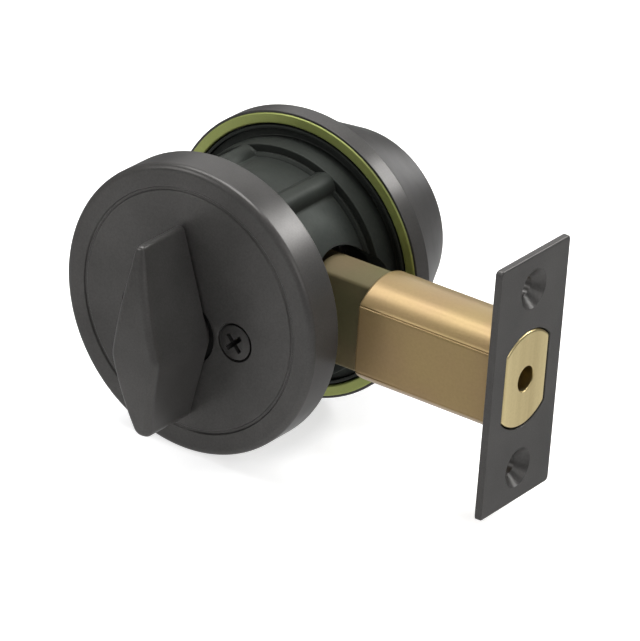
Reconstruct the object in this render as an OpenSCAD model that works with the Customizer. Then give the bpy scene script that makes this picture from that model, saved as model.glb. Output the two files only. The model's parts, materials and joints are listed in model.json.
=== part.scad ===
// Single-cylinder tubular deadbolt: thumbturn and rose inside, key cylinder and collar outside,
// and a tubular latch between them. +X is the way the bolt is thrown, +Y points to the key side
// and +Z is up. The origin is where the door's cross bore meets the bolt's centre line.

/* [Door] */
// Distance from the face of the faceplate to the centre of the cross bore
backset = 70; // [68:0.5:74]
// Clear gap between the rose and the collar
door_gap = 28; // [28:0.5:34]
// How far the spindle axis lies below the bolt's centre line
spindle_drop = 4.8; // [4.2:0.1:5]
// Travel of the bolt
bolt_throw = 25.4; // [22:0.2:25.4]

/* [Rose] */
// Outer diameter of the rose
rose_d = 64.8; // [62:0.2:68]
// Depth of the rose, from its rim to its face
rose_depth = 9.3; // [9:0.1:11]
// Wall of the rose's skirt
rose_wall = 1.8; // [1.4:0.1:2.4]
// Thickness of the rose's face
rose_face = 2; // [1.8:0.1:2.4]
// Rounding of the rose's front edge
rose_edge = 1.5; // [0.8:0.1:1.8]
// Radius of the decorative groove in the rose's face
groove_r = 27.05; // [24:0.05:28]
// Width of the decorative groove
groove_w = 0.55; // [0.3:0.05:1]

/* [Thumbturn] */
// Reach of the blade above the spindle axis
blade_up = 24.3; // [20:0.1:26]
// Reach of the blade below the spindle axis
blade_down = 19.1; // [16:0.1:24]
// Half width of the blade at its base, beside the hub
blade_base_half = 6.6; // [6:0.1:8]
// Half width of the blade at its front, beside the hub
blade_front_half = 5.9; // [4.5:0.1:7]
// Half width of the blade's upper end
blade_tip_half = 0.8; // [0.6:0.1:2]
// Radius of the blade's round lower end
blade_foot_r = 2.3; // [1.5:0.1:3]
// How far the lower end is set over from the blade's middle line
blade_foot_shift = 0.8; // [0:0.1:1]
// Depth of the blade at its middle
blade_depth = 18.3; // [16:0.1:20]
// Radius of the crown along the blade's front
blade_crown_r = 71; // [60:1:100]
// Gap between the blade and the rose
blade_gap = 1; // [0.6:0.1:1.5]
// Lean of the blade from upright when the bolt is drawn back
blade_lean = 5.5; // [0:0.5:8]
// Radius of the thumbturn's hub
hub_r = 5.42; // [5.4:0.01:5.46]

/* [Faceplate] */
// Width of the faceplate
plate_w = 25.4; // [25:0.1:28.6]
// Height of the faceplate
plate_h = 57.15; // [56:0.05:60]
// Thickness of the faceplate
plate_t = 1.6; // [1.5:0.1:2]
// Distance between the faceplate's screw holes
plate_holes = 41.3; // [40:0.1:43]
// Radius of the faceplate's screw holes
plate_hole_r = 2.25; // [2:0.05:2.5]
// Radius of the countersink at the faceplate's front
plate_sink_r = 4.5; // [4:0.1:4.8]
// Thickness of the inner plate behind the faceplate
inner_plate_t = 1.4; // [1.2:0.1:1.8]

/* [Latch case] */
// Outer radius of the latch case's round top and bottom
case_r = 12; // [11.9:0.05:12.5]
// Half width of the latch case across its flats
case_half = 9.2; // [9.1:0.05:9.4]
// Wall of the latch case
case_wall = 0.8; // [0.7:0.05:0.9]
// Distance from the cross bore's centre to the case's rear end
case_rear = 33.4; // [33:0.1:34]
// Outer radius of the cam frame's round top and bottom
frame_r = 11.2; // [11.1:0.05:11.3]
// Half width of the cam frame across its flats
frame_half = 5; // [5:0.1:5.2]
// Wall of the cam frame
frame_wall = 1; // [0.9:0.1:1.1]

/* [Bolt] */
// Half width of the bolt across its flats
bolt_half = 7.7; // [7.5:0.05:8.1]
// Radius of the bolt's round top and bottom
bolt_r = 10.8; // [10.6:0.05:10.9]
// Radius of the hole in the bolt's end
bolt_hole_r = 2.8; // [2:0.1:3]
// Thickness of the flat bar that pulls the bolt
tail_t = 2.6; // [2.4:0.1:2.7]

/* [Chassis] */
// Outer radius of the chassis drum
drum_r = 24; // [23.6:0.1:24.4]
// Wall of the chassis drum
drum_wall = 1.8; // [1.6:0.1:1.9]
// Radius of the hole that the latch passes through
latch_hole_r = 13.4; // [11.8:0.1:13.5]
// Radius of the ribs cast along the drum
rib_r = 2.9; // [2.5:0.1:3.1]
// Depth of the step where the drum widens, in front of the door face
step_lead = 4.6; // [4:0.1:5]
// Angle between each rib and the vertical
rib_angle = 25; // [22:1:28]

/* [Collar] */
// Outer radius of the collar's flange
flange_r = 32.6; // [32.4:0.1:34]
// Depth of the collar's flange
flange_depth = 5; // [4.4:0.1:5.6]
// Radius at the root of the collar's cone
cone_root_r = 31; // [30:0.1:31.4]
// Radius at the nose of the collar's cone
cone_nose_r = 21.3; // [20.5:0.1:22]
// Length of the collar behind the door face
collar_len = 27; // [27:0.1:28]
// Inner radius of the plated backing ring
ring_in_r = 29.7; // [29.6:0.05:29.9]
// Outer radius of the plated backing ring
ring_out_r = 32.05; // [31.8:0.05:32.1]

/* [Key cylinder] */
// Radius of the cylinder body
cyl_r = 15.2; // [15:0.05:15.25]
// Radius of the key plug
plug_r = 6.3; // [6.25:0.01:6.32]
// Distance between pin chambers
pin_pitch = 3.9; // [3.7:0.05:3.95]
// Number of pin chambers
pin_count = 5; // [3:1:5]
// Radius of the pins
pin_r = 1.4; // [1.35:0.01:1.42]

/* [Hidden] */

// Smoothness of round faces
$fn = 96;
// Smoothness of small round faces
small_fn = 32;
// How far a cut runs past the face it opens
over = 0.5;
// Radial clearance of a pin or shaft that turns in a hole
fit_gap = 0.06;

// Levels along Y, from the thumbturn to the key
rose_back_y = -door_gap / 2;
rose_face_y = rose_back_y - rose_depth;
rose_inner_y = rose_face_y + rose_face;
blade_base_y = rose_face_y - blade_gap;
backing_t = 1.6;
backing_back_y = rose_inner_y + 4.1;
backing_front_y = backing_back_y - backing_t;
ring_face_y = door_gap / 2;
rim_y = ring_face_y + 0.3;
ring_seat_y = ring_face_y + 1.6;
seat_y = ring_face_y + 3.5;
collar_front_y = rim_y + collar_len - 0.1;
cyl_shoulder_y = collar_front_y - 1.6;
cyl_front_y = collar_front_y - 0.3;

// Mounting screws and the posts they run into
screw_x = 12.7;
screw_z = -3;
screw_r = 1.95;
screw_head_r = 3.9;
screw_head_h = 2.3;
screw_hole_r = 2.6;
screw_sink_r = screw_head_r + 0.5;
screw_sink_h = screw_head_h * (screw_head_r - screw_hole_r) / (screw_head_r - screw_r);
screw_end_y = ring_face_y + 2;
boss_r = 4.6;
post_r = 3.7;
post_rear_y = 6;
screw_crown_w = 1.2;
screw_crown_h = 0.35;
cross_w = 1.1;
cross_reach = 2.3;
cross_depth = 2;

// Thumbturn bearing
bushing_out_r = 7.2;
bushing_in_r = hub_r + fit_gap;
bushing_flange_r = 9;
bushing_flange_t = 1.2;
bushing_front_y = rose_face_y + 0.9;
hub_end_y = backing_back_y + 2.2;
washer_t = 0.5;
clip_t = 0.8;
clip_in_r = 4.7;
clip_out_r = 7.6;
clip_y = backing_back_y + washer_t;
clip_mouth = 3.76;

// Tailpiece and the slots that it fits
tail_w = 6.4;
tail_thick = 2.2;
slot_gap = 0.15;
tailpiece_front_y = hub_end_y - 4.6;
tail_head_r = 5.4;
tail_head_t = 0.8;

// Faceplate opening and inner plate
opening_gap = 0.3;
plate_back_x = backset - plate_t;
inner_plate_x = plate_back_x - inner_plate_t;
inner_plate_w = 20;
inner_plate_h = 53;
plate_chamfer = 0.35;
dimple_r = 3.6;
dimple_x = inner_plate_x - 1;

// Latch
case_in_r = case_r - case_wall;
case_in_half = case_half - case_wall;
case_end_t = 1;
frame_front_x = case_rear + case_end_t;
frame_end_r = 21.3;
frame_in_r = frame_r - frame_wall;
frame_in_half = frame_half - frame_wall;
frame_open_x = 19.5;
frame_open_z = 7;
rivet_r = 1.5;
rivet_head_r = 2.4;
rivet_head_t = 0.5;
rivet_z = -7.8;
rivet_xs = [-15.2, 18];

// Cam: the drive pin swings equally to both sides of upright
turn = 90;
arm_r = bolt_throw / 2 / sin(turn / 2);
pin_drive_r = 2;
cam_hub_r = 4.7;
cam_journal_r = 4.4;
cam_hub_y = frame_in_half - 1.1;
arm_half = 2.9;
arm_y0 = -3.6;
arm_y1 = -0.5;
arm_x_rest = -bolt_throw / 2;
arm_z_rest = bolt_throw / 2 / tan(turn / 2) - spindle_drop;

// Bolt and tail
bolt_rear_x = frame_front_x + 0.5;
bolt_edge = 0.5;
hardened_r = 2.7;
hardened_x0 = backset - 24;
hardened_x1 = backset - 8;
tail_y0 = 0.1;
tail_y1 = tail_y0 + tail_t;
tail_z0 = 1.8;
tail_z1 = 5.5;
fork_top_z = 12.2;
fork_slot = 2 * pin_drive_r + 1.5;
prong = 2;
fork_x0 = arm_x_rest - fork_slot / 2 - prong;
fork_x1 = arm_x_rest + fork_slot / 2 + 3;
tail_front_x = bolt_rear_x + 7.5;
tail_rivet_r = 1.5;
tail_rivet_x = bolt_rear_x + 4;
tail_rivet_z = (tail_z0 + tail_z1) / 2;

// Chassis
drum_in_r = drum_r - drum_wall;
drum_front_y = backing_back_y;
floor_y = seat_y - 2.6;
floor_hole_r = 8;
step_y = ring_face_y - step_lead;
bead_r = drum_r + 0.9;
bead_y = step_y - 0.5;
step_root_r = 26.6;
step_r = 26.9;
rib_centre_r = step_root_r - rib_r;
groove_y = ring_face_y + 1.6;
lip_in_r = 28.6;
lip_out_r = ring_in_r - 0.35;
rib_angles = [90 - rib_angle, 90 + rib_angle, rib_angle - 90, -90 - rib_angle];

// Small screws
m3_r = 1.5;
m3_head_r = 2.75;
m3_head_h = 1.8;
m3_len = 9;
m3_hole_end_y = floor_y + m3_len + 1;
m3_cross_half = 0.4;
m3_cross_reach = 1.8;
m3_cross_y = floor_y - 0.8;
chassis_screw_r = 19.2;
chassis_screw_angles = [90, 210, 330];
cylinder_screw_x = 10.2;
cylinder_screw_z = 5.2;

// Key cylinder
cyl_neck_r = 14.4;
collar_bore_r = cyl_r + 0.1;
plug_flange_r = 7;
plug_flange_t = 1;
plug_bore_r = plug_r + fit_gap;
plug_neck_r = 5.3;
plug_neck_y = seat_y - 2.6;
lug_in_r = 3.6;
lug_t = 1.4;
lug_half_angle = 25;
cap_out_r = 6.9;
cap_front_y = seat_y - 5.8;
cap_wall = 0.7;
cap_hole_r = 4.2;
tail_head_y = cap_front_y + cap_wall + 0.1;
key_slot_w = 1.9;
key_slot_low = -4.7;
key_slot_high = 4.2;
key_slot_y = seat_y + 1.4;
key_ward = 0.7;
key_ward_low = -1.2;
key_ward_high = 0.4;
chamber_r = pin_r + 0.05;
chamber_y0 = seat_y + 3;
cover_z = 10.6;
cover_t = 1;
cover_half = 2.15;
cover_y0 = seat_y + 1;
cover_y1 = cyl_shoulder_y - 1;
shear_z = plug_r - spindle_drop;
pin_top_z = shear_z - 0.2;
driver_z = shear_z + 0.12;
driver_len = 4.4;
// Lengths of the lower pins, as cut for one key
key_pins = [4.4, 5.3, 3.9, 5.0, 4.2];
spring_wire = 0.16;
spring_turns = 5;
spring_steps = 10;
drill_pin_r = 1;
drill_pin_x = 3.6;
drill_pin_z = [1.8, 9.6];
drill_pin_y = cyl_shoulder_y - 1.4;

// Cylinder along Y from y0 to y1, at x and z
module rod_y(r, y0, y1, x = 0, z = 0) {
    translate([x, y0, z]) rotate([-90, 0, 0]) cylinder(r = r, h = y1 - y0);
}

// Cone along Y, from radius ra at y0 to radius rb at y1
module cone_y(ra, rb, y0, y1, x = 0, z = 0) {
    translate([x, y0, z]) rotate([-90, 0, 0]) cylinder(r1 = ra, r2 = rb, h = y1 - y0);
}

// Cylinder along X from x0 to x1, at y and z
module rod_x(r, x0, x1, y = 0, z = 0) {
    translate([x0, y, z]) rotate([0, 90, 0]) cylinder(r = r, h = x1 - x0);
}

// Box between two corners
module block(low, high) {
    translate(low) cube(high - low);
}

// Solid of revolution about the Y axis; the profile holds [radius, y]
module turned_y() {
    rotate([-90, 0, 0]) rotate_extrude() children();
}

// Rod along X with a round top and bottom and two flat sides
module flatted_rod(r, half, x0, x1) {
    intersection() {
        rod_x(r, x0, x1);
        block([x0, -half, -r], [x1, half, r]);
    }
}

// Everything that turns on the spindle is drawn about the spindle's own axis
module at_spindle() {
    translate([0, 0, -spindle_drop]) children();
}

// Places its children at both mounting screws
module at_screws() {
    for (side = [-1, 1]) translate([side * screw_x, 0, screw_z]) children();
}

// Places its children around the Y axis at radius r
module around_y(r, angles) {
    for (a = angles) translate([r * cos(a), 0, r * sin(a)]) children();
}

// Slot for the tailpiece, along Y
module tail_slot(y0, y1) {
    half_x = tail_thick / 2 + slot_gap;
    half_z = tail_w / 2 + slot_gap;
    block([-half_x, y0, -half_z], [half_x, y1, half_z]);
}

// Half of a cross recess, one bar of it
module cross_bar(y0, y1) {
    block([-cross_reach, y0, -cross_w / 2], [cross_reach, y1, cross_w / 2]);
}

// ---- Thumbturn side ----

// Half section of the rose's outside: a disc with a rounded front edge
module rose_profile() {
    r = rose_d / 2;
    union() {
        translate([0, rose_face_y]) square([r - rose_edge, rose_depth]);
        translate([0, rose_face_y + rose_edge]) square([r, rose_depth - rose_edge]);
        translate([r - rose_edge, rose_face_y + rose_edge]) circle(r = rose_edge);
    }
}

module rose() {
    color("dimgray") difference() {
        union() {
            difference() {
                turned_y() rose_profile();
                rod_y(rose_d / 2 - rose_wall, rose_inner_y, rose_back_y + over);
            }
            at_screws() rod_y(boss_r, rose_inner_y, backing_front_y);
        }
        turned_y() translate([groove_r - groove_w / 2, rose_face_y - over]) square([groove_w, over + 0.5]);
        at_spindle() rod_y(bushing_out_r, rose_face_y - over, rose_inner_y + over);
        at_screws() rod_y(screw_hole_r, rose_face_y - over, backing_front_y + over);
        at_screws() cone_y(screw_sink_r, screw_hole_r, rose_face_y, rose_face_y + screw_sink_h);
    }
}

module rose_backing_plate() {
    color("darkgray") difference() {
        rod_y(rose_d / 2 - rose_wall - 0.4, backing_front_y, backing_back_y);
        at_spindle() rod_y(hub_r + 0.4, backing_front_y - over, backing_back_y + over);
        at_screws() rod_y(screw_hole_r, backing_front_y - over, backing_back_y + over);
    }
}

module thumbturn_bushing() {
    color("black") at_spindle() difference() {
        union() {
            rod_y(bushing_out_r, bushing_front_y, backing_front_y);
            rod_y(bushing_flange_r, rose_inner_y, rose_inner_y + bushing_flange_t);
        }
        rod_y(bushing_in_r, bushing_front_y - over, backing_front_y + over);
        for (side = [-1, 1]) translate([side * screw_x, 0, screw_z + spindle_drop])
            rod_y(boss_r + 0.1, rose_inner_y - over, backing_front_y + over);
    }
}

module mounting_screws() {
    color("dimgray") at_screws() difference() {
        union() {
            rod_y(screw_r, rose_face_y + screw_head_h, screw_end_y);
            cone_y(screw_head_r, screw_r, rose_face_y, rose_face_y + screw_head_h);
            cone_y(screw_head_r - screw_crown_w, screw_head_r, rose_face_y - screw_crown_h, rose_face_y);
        }
        for (a = [45, -45]) rotate([0, a, 0]) cross_bar(rose_face_y - over, rose_face_y + cross_depth);
    }
}

// Blade outline: a narrow upper end, a wide round middle and a round lower end
module blade_outline(half) {
    tip = blade_tip_half;
    hull() {
        circle(r = half, $fn = small_fn);
        translate([-blade_foot_shift, blade_foot_r - blade_down]) circle(r = blade_foot_r, $fn = small_fn);
        translate([-tip, blade_up - tip]) square([2 * tip, tip]);
    }
}

// Blade with draft from its base to its front and a crowned front
module blade() {
    skin = 0.1;
    middle_z = (blade_up - blade_down) / 2;
    crown_y = blade_base_y - blade_depth + blade_gap + blade_crown_r;
    intersection() {
        hull() {
            translate([0, blade_base_y, 0]) rotate([90, 0, 0])
                linear_extrude(skin) blade_outline(blade_base_half);
            translate([0, blade_base_y - blade_depth, 0]) rotate([90, 0, 0])
                linear_extrude(skin) blade_outline(blade_front_half);
        }
        rod_x(blade_crown_r, -rose_d, rose_d, crown_y, middle_z, $fn = 180);
    }
}

module thumbturn() {
    color("dimgray") at_spindle() difference() {
        union() {
            rotate([0, -blade_lean, 0]) blade();
            rod_y(hub_r, blade_base_y - over, hub_end_y);
        }
        difference() {
            rod_y(hub_r + over, clip_y, clip_y + clip_t);
            rod_y(clip_in_r, clip_y - over, clip_y + clip_t + over);
        }
        tail_slot(tailpiece_front_y - over, hub_end_y + over);
    }
}

module thumbturn_spring_washer() {
    color("silver") at_spindle() difference() {
        rod_y(clip_out_r + 0.8, backing_back_y, clip_y);
        rod_y(hub_r + 0.1, backing_back_y - over, clip_y + over);
    }
}

module thumbturn_retaining_ring() {
    color("gray") at_spindle() difference() {
        rod_y(clip_out_r, clip_y, clip_y + clip_t);
        rod_y(clip_in_r, clip_y - over, clip_y + clip_t + over);
        block([-clip_mouth, clip_y - over, -clip_out_r - over],
            [clip_mouth, clip_y + clip_t + over, 0]);
    }
}

// ---- Latch ----

// One countersunk screw hole, which runs down into the dimple behind the faceplate
module plate_hole() {
    sink = plate_sink_r - plate_hole_r;
    translate([backset - sink, 0, 0]) rotate([0, 90, 0])
        cylinder(r1 = plate_hole_r, r2 = plate_sink_r, h = sink);
    rod_x(plate_hole_r, dimple_x - over, backset + over);
}

module at_plate_holes() {
    for (side = [-1, 1]) translate([0, 0, side * plate_holes / 2]) children();
}

module faceplate() {
    c = plate_chamfer;
    color("dimgray") difference() {
        union() {
            block([plate_back_x, -plate_w / 2, -plate_h / 2], [backset - c, plate_w / 2, plate_h / 2]);
            block([plate_back_x, -plate_w / 2 + c, -plate_h / 2 + c],
                [backset, plate_w / 2 - c, plate_h / 2 - c]);
            at_plate_holes() rod_x(dimple_r, dimple_x, plate_back_x);
        }
        flatted_rod(bolt_r + opening_gap, bolt_half + opening_gap, plate_back_x - over, backset + over);
        at_plate_holes() plate_hole();
    }
}

module inner_faceplate() {
    color("goldenrod") difference() {
        block([inner_plate_x, -inner_plate_w / 2, -inner_plate_h / 2],
            [plate_back_x, inner_plate_w / 2, inner_plate_h / 2]);
        flatted_rod(bolt_r + opening_gap, bolt_half + opening_gap, inner_plate_x - over, plate_back_x + over);
        at_plate_holes() rod_x(dimple_r + 0.2, inner_plate_x - over, plate_back_x + over);
    }
}

module latch_case() {
    color("peru") difference() {
        flatted_rod(case_r, case_half, case_rear, inner_plate_x);
        flatted_rod(case_in_r, case_in_half, frame_front_x, inner_plate_x + over);
        flatted_rod(frame_r, frame_half, case_rear - over, frame_front_x + over);
    }
}

module cam_frame() {
    color("darkkhaki") difference() {
        intersection() {
            flatted_rod(frame_r, frame_half, -frame_end_r, frame_front_x);
            union() {
                rod_y(frame_end_r, -frame_half, frame_half);
                block([0, -frame_half, -frame_r], [frame_front_x, frame_half, frame_r]);
            }
        }
        intersection() {
            flatted_rod(frame_in_r, frame_in_half, -frame_end_r, frame_front_x + over);
            union() {
                rod_y(frame_end_r - frame_wall, -frame_half, frame_half);
                block([0, -frame_half, -frame_r], [frame_front_x + over, frame_half, frame_r]);
            }
        }
        block([-frame_end_r - over, -frame_in_half, frame_open_z],
            [frame_open_x, frame_in_half, frame_r + over]);
        at_spindle() rod_y(cam_journal_r + fit_gap, -frame_half - over, frame_half + over);
        at_screws() rod_y(screw_hole_r, -frame_half - over, frame_half + over);
        for (x = rivet_xs) rod_y(rivet_r, -frame_half - over, frame_half + over, x, rivet_z);
    }
}

module frame_rivets() {
    color("silver") for (x = rivet_xs) {
        rod_y(rivet_r, -frame_half, frame_half, x, rivet_z);
        for (side = [0, 1]) mirror([0, side, 0])
            cone_y(rivet_head_r - 0.4, rivet_head_r, -frame_half - rivet_head_t, -frame_half, x, rivet_z);
    }
}

module bolt() {
    e = bolt_edge;
    color("khaki") difference() {
        intersection() {
            flatted_rod(bolt_r, bolt_half, bolt_rear_x, backset);
            union() {
                rod_x(bolt_r, bolt_rear_x, backset - e);
                translate([backset - e, 0, 0]) rotate([0, 90, 0])
                    cylinder(r1 = bolt_r, r2 = bolt_r - e, h = e);
            }
        }
        rod_x(bolt_hole_r, hardened_x1, backset + over);
        rod_x(hardened_r, hardened_x0, hardened_x1 + over);
        block([bolt_rear_x - over, tail_y0, tail_z0], [tail_front_x, tail_y1, tail_z1]);
        rod_y(tail_rivet_r, -bolt_half - over, bolt_half + over, tail_rivet_x, tail_rivet_z);
    }
}

module bolt_hardened_pin() {
    color("lightsteelblue") rod_x(hardened_r, hardened_x0, hardened_x1);
}

module bolt_tail() {
    color("silver") difference() {
        union() {
            block([fork_x0, tail_y0, tail_z0], [tail_front_x, tail_y1, tail_z1]);
            block([fork_x0, tail_y0, tail_z0], [fork_x1, tail_y1, fork_top_z]);
        }
        block([arm_x_rest - fork_slot / 2, tail_y0 - over, tail_z1],
            [arm_x_rest + fork_slot / 2, tail_y1 + over, fork_top_z + over]);
        rod_y(tail_rivet_r, tail_y0 - over, tail_y1 + over, tail_rivet_x, tail_rivet_z);
    }
}

module tail_rivet() {
    color("gray") rod_y(tail_rivet_r, -bolt_half + 0.1, bolt_half - 0.1, tail_rivet_x, tail_rivet_z);
}

// The arm points back along -X at rest; it swings over the top to throw the bolt
module cam() {
    color("lightgray") difference() {
        union() {
            at_spindle() rod_y(cam_hub_r, -cam_hub_y, cam_hub_y);
            at_spindle() rod_y(cam_journal_r, -frame_half, frame_half);
            at_spindle() rotate([0, -turn / 2, 0]) {
                block([-arm_half, arm_y0, 0], [arm_half, arm_y1, arm_r]);
                rod_y(arm_half, arm_y0, arm_y1, 0, arm_r);
            }
        }
        at_spindle() tail_slot(-frame_half - over, frame_half + over);
        rod_y(pin_drive_r - 0.4, arm_y0 - over, arm_y1 + over, arm_x_rest, arm_z_rest);
    }
}

module cam_drive_pin() {
    color("silver") {
        rod_y(pin_drive_r - 0.4, arm_y0, arm_y1, arm_x_rest, arm_z_rest);
        rod_y(pin_drive_r, arm_y1, tail_y1 + 0.5, arm_x_rest, arm_z_rest);
    }
}

// ---- Key side ----

module chassis_flange_profile() {
    union() {
        translate([0, drum_front_y]) square([drum_r, seat_y - drum_front_y]);
        translate([0, bead_y]) square([bead_r, seat_y - bead_y]);
        polygon([[0, step_y], [step_root_r, step_y], [step_r, groove_y], [0, groove_y]]);
        translate([0, groove_y]) square([lip_out_r, seat_y - groove_y]);
        translate([lip_in_r, ring_face_y]) square([lip_out_r - lip_in_r, seat_y - ring_face_y]);
    }
}

module chassis() {
    color("darkslategray") difference() {
        union() {
            difference() {
                union() {
                    turned_y() chassis_flange_profile();
                    around_y(rib_centre_r, rib_angles) rod_y(rib_r, drum_front_y, step_y, $fn = small_fn);
                }
                rod_y(drum_in_r, drum_front_y - over, floor_y);
            }
            at_screws() rod_y(post_r, post_rear_y, floor_y + over);
        }
        rod_x(latch_hole_r, 0, drum_r + rib_r + over);
        at_spindle() rod_y(floor_hole_r, floor_y - over, seat_y + over);
        at_screws() rod_y(screw_r + fit_gap, post_rear_y - over, seat_y + over);
        around_y(chassis_screw_r, chassis_screw_angles) rod_y(m3_r, floor_y - over, seat_y + over);
        for (side = [-1, 1])
            rod_y(m3_r, floor_y - over, seat_y + over, side * cylinder_screw_x, cylinder_screw_z);
    }
}

// Small round-head screw with its head on the chassis floor
module m3_screw() {
    color("silver") difference() {
        union() {
            rod_y(m3_head_r, floor_y - m3_head_h, floor_y);
            rod_y(m3_r, floor_y, floor_y + m3_len);
        }
        for (a = [45, -45]) rotate([0, a, 0])
            block([-m3_cross_half, floor_y - m3_head_h - over, -m3_cross_reach],
                [m3_cross_half, m3_cross_y, m3_cross_reach]);
    }
}

module chassis_screws() {
    around_y(chassis_screw_r, chassis_screw_angles) m3_screw();
}

module cylinder_screws() {
    for (side = [-1, 1]) translate([side * cylinder_screw_x, 0, cylinder_screw_z]) m3_screw();
}

// Half section of the collar's outside: flange, cone and rounded nose
module collar_profile() {
    flange_y = rim_y + flange_depth;
    nose = 1.2;
    round = 0.8;
    union() {
        translate([0, rim_y]) square([flange_r - round, flange_depth]);
        translate([0, rim_y]) square([flange_r, flange_depth - round]);
        translate([flange_r - round, flange_y - round]) circle(r = round, $fn = small_fn);
        polygon([[0, flange_y], [cone_root_r, flange_y], [cone_nose_r, collar_front_y - nose],
            [cone_nose_r - nose, collar_front_y], [0, collar_front_y]]);
        translate([cone_nose_r - nose, collar_front_y - nose]) circle(r = nose, $fn = small_fn);
    }
}

module collar() {
    color("dimgray") difference() {
        turned_y() collar_profile();
        rod_y(ring_in_r, rim_y - over, seat_y);
        rod_y(ring_out_r, rim_y - over, ring_seat_y);
        rod_y(collar_bore_r, seat_y - over, cyl_shoulder_y);
        rod_y(cyl_neck_r + 0.1, cyl_shoulder_y - over, collar_front_y + over);
        cone_y(cyl_neck_r + 0.1, cyl_neck_r + 1.3, collar_front_y - 0.6, collar_front_y + 0.1);
        around_y(chassis_screw_r, chassis_screw_angles) rod_y(m3_r, seat_y - over, m3_hole_end_y);
    }
}

module backing_ring() {
    color("olivedrab") difference() {
        rod_y(ring_out_r, ring_face_y, ring_seat_y);
        rod_y(ring_in_r, ring_face_y - over, ring_seat_y + over);
    }
}

// Places its children at each pin chamber
module at_chambers() {
    for (i = [0 : pin_count - 1]) {
        $pin_length = key_pins[i];
        translate([0, chamber_y0 + i * pin_pitch, 0]) children();
    }
}

module cylinder_body() {
    color("goldenrod") difference() {
        union() {
            rod_y(cyl_r, seat_y, cyl_shoulder_y);
            rod_y(cyl_neck_r, cyl_shoulder_y, cyl_front_y);
        }
        at_spindle() rod_y(plug_bore_r, seat_y - over, cyl_front_y + over);
        at_spindle() rod_y(plug_flange_r + 0.1, cyl_front_y - plug_flange_t - 0.1, cyl_front_y + over);
        at_chambers() translate([0, 0, -spindle_drop])
            cylinder(r = chamber_r, h = cyl_r + spindle_drop, $fn = small_fn);
        block([-cover_half, cover_y0, cover_z], [cover_half, cover_y1, cyl_r + over]);
        for (side = [-1, 1]) {
            rod_y(m3_r, seat_y - over, m3_hole_end_y, side * cylinder_screw_x, cylinder_screw_z);
            translate([side * drill_pin_x, drill_pin_y, drill_pin_z[0]])
                cylinder(r = drill_pin_r, h = cyl_r, $fn = small_fn);
        }
    }
}

module anti_drill_pins() {
    color("lightsteelblue") for (side = [-1, 1]) translate([side * drill_pin_x, drill_pin_y, drill_pin_z[0]])
        cylinder(r = drill_pin_r, h = drill_pin_z[1] - drill_pin_z[0], $fn = small_fn);
}

// Sector of a ring that drives the tailpiece or is driven by it, centred on angle a from +X
module drive_lug(r, y0, y1, a) {
    translate([0, y0, 0]) rotate([-90, 0, 0]) rotate([0, 0, -a - lug_half_angle])
        rotate_extrude(angle = 2 * lug_half_angle) translate([lug_in_r, 0]) square([r - lug_in_r, y1 - y0]);
}

module key_plug() {
    color("gold") at_spindle() {
        difference() {
            union() {
                rod_y(plug_r, seat_y, cyl_front_y - 0.1);
                rod_y(plug_flange_r, cyl_front_y - plug_flange_t, cyl_front_y);
                rod_y(plug_neck_r, plug_neck_y, seat_y + over);
            }
            block([-key_slot_w / 2, key_slot_y, key_slot_low],
                [key_slot_w / 2, cyl_front_y + over, key_slot_high]);
            block([0, key_slot_y, key_ward_low],
                [key_slot_w / 2 + key_ward, cyl_front_y + over, key_ward_high]);
            at_chambers() cylinder(r = chamber_r, h = plug_r + over, $fn = small_fn);
        }
        drive_lug(plug_neck_r, plug_neck_y - lug_t, plug_neck_y, -90);
    }
}

module plug_cap() {
    color("silver") at_spindle() difference() {
        rod_y(cap_out_r, cap_front_y, seat_y - 0.1);
        rod_y(plug_neck_r, plug_neck_y - lug_t, seat_y);
        rod_y(tail_head_r + 0.3, cap_front_y + cap_wall, plug_neck_y - 0.1);
        rod_y(cap_hole_r, cap_front_y - over, seat_y);
    }
}

module bottom_pins() {
    color("goldenrod") at_chambers() translate([0, 0, pin_top_z - $pin_length]) {
        translate([0, 0, 0.8]) cylinder(r = pin_r, h = $pin_length - 0.8, $fn = small_fn);
        cylinder(r1 = 0.5, r2 = pin_r, h = 0.8, $fn = small_fn);
    }
}

module top_pins() {
    color("silver") at_chambers() translate([0, 0, driver_z])
        cylinder(r = pin_r, h = driver_len, $fn = small_fn);
}

// Ring of points across the wire at angle t along the coil
function coil_ring(t, radius, rise) = [
    for (s = [0 : 5])
        let (a = s * 60, out = radius + spring_wire * cos(a), up = rise + spring_wire * sin(a))
            [out * cos(t), out * sin(t), up]
];

// Quads between one ring and the next
function coil_sides(rings) = [
    for (i = [0 : rings - 2], s = [0 : 5])
        [i * 6 + s, i * 6 + (s + 1) % 6, (i + 1) * 6 + (s + 1) % 6, (i + 1) * 6 + s]
];

// Coil spring along Z, of the given radius and height
module coil(radius, height) {
    rings = spring_turns * spring_steps + 1;
    climb = (height - 2 * spring_wire) / (rings - 1);
    points = [
        for (i = [0 : rings - 1]) each coil_ring(i * 360 / spring_steps, radius, spring_wire + climb * i)
    ];
    start = [for (s = [5 : -1 : 0]) s];
    finish = [for (s = [0 : 5]) (rings - 1) * 6 + s];
    polyhedron(points = points, faces = concat([start], coil_sides(rings), [finish]));
}

module pin_springs() {
    color("silver") at_chambers() translate([0, 0, driver_z + driver_len])
        coil(pin_r - spring_wire - 0.1, cover_z - driver_z - driver_len);
}

module spring_cover() {
    color("goldenrod") block([-cover_half, cover_y0, cover_z], [cover_half, cover_y1, cover_z + cover_t]);
}

module tailpiece() {
    color("silver") at_spindle() union() {
        block([-tail_thick / 2, tailpiece_front_y, -tail_w / 2], [tail_thick / 2, tail_head_y, tail_w / 2]);
        rod_y(tail_head_r, tail_head_y, tail_head_y + tail_head_t);
        drive_lug(tail_head_r - 0.2, tail_head_y + tail_head_t, plug_neck_y - 0.2, 90);
    }
}

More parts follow.
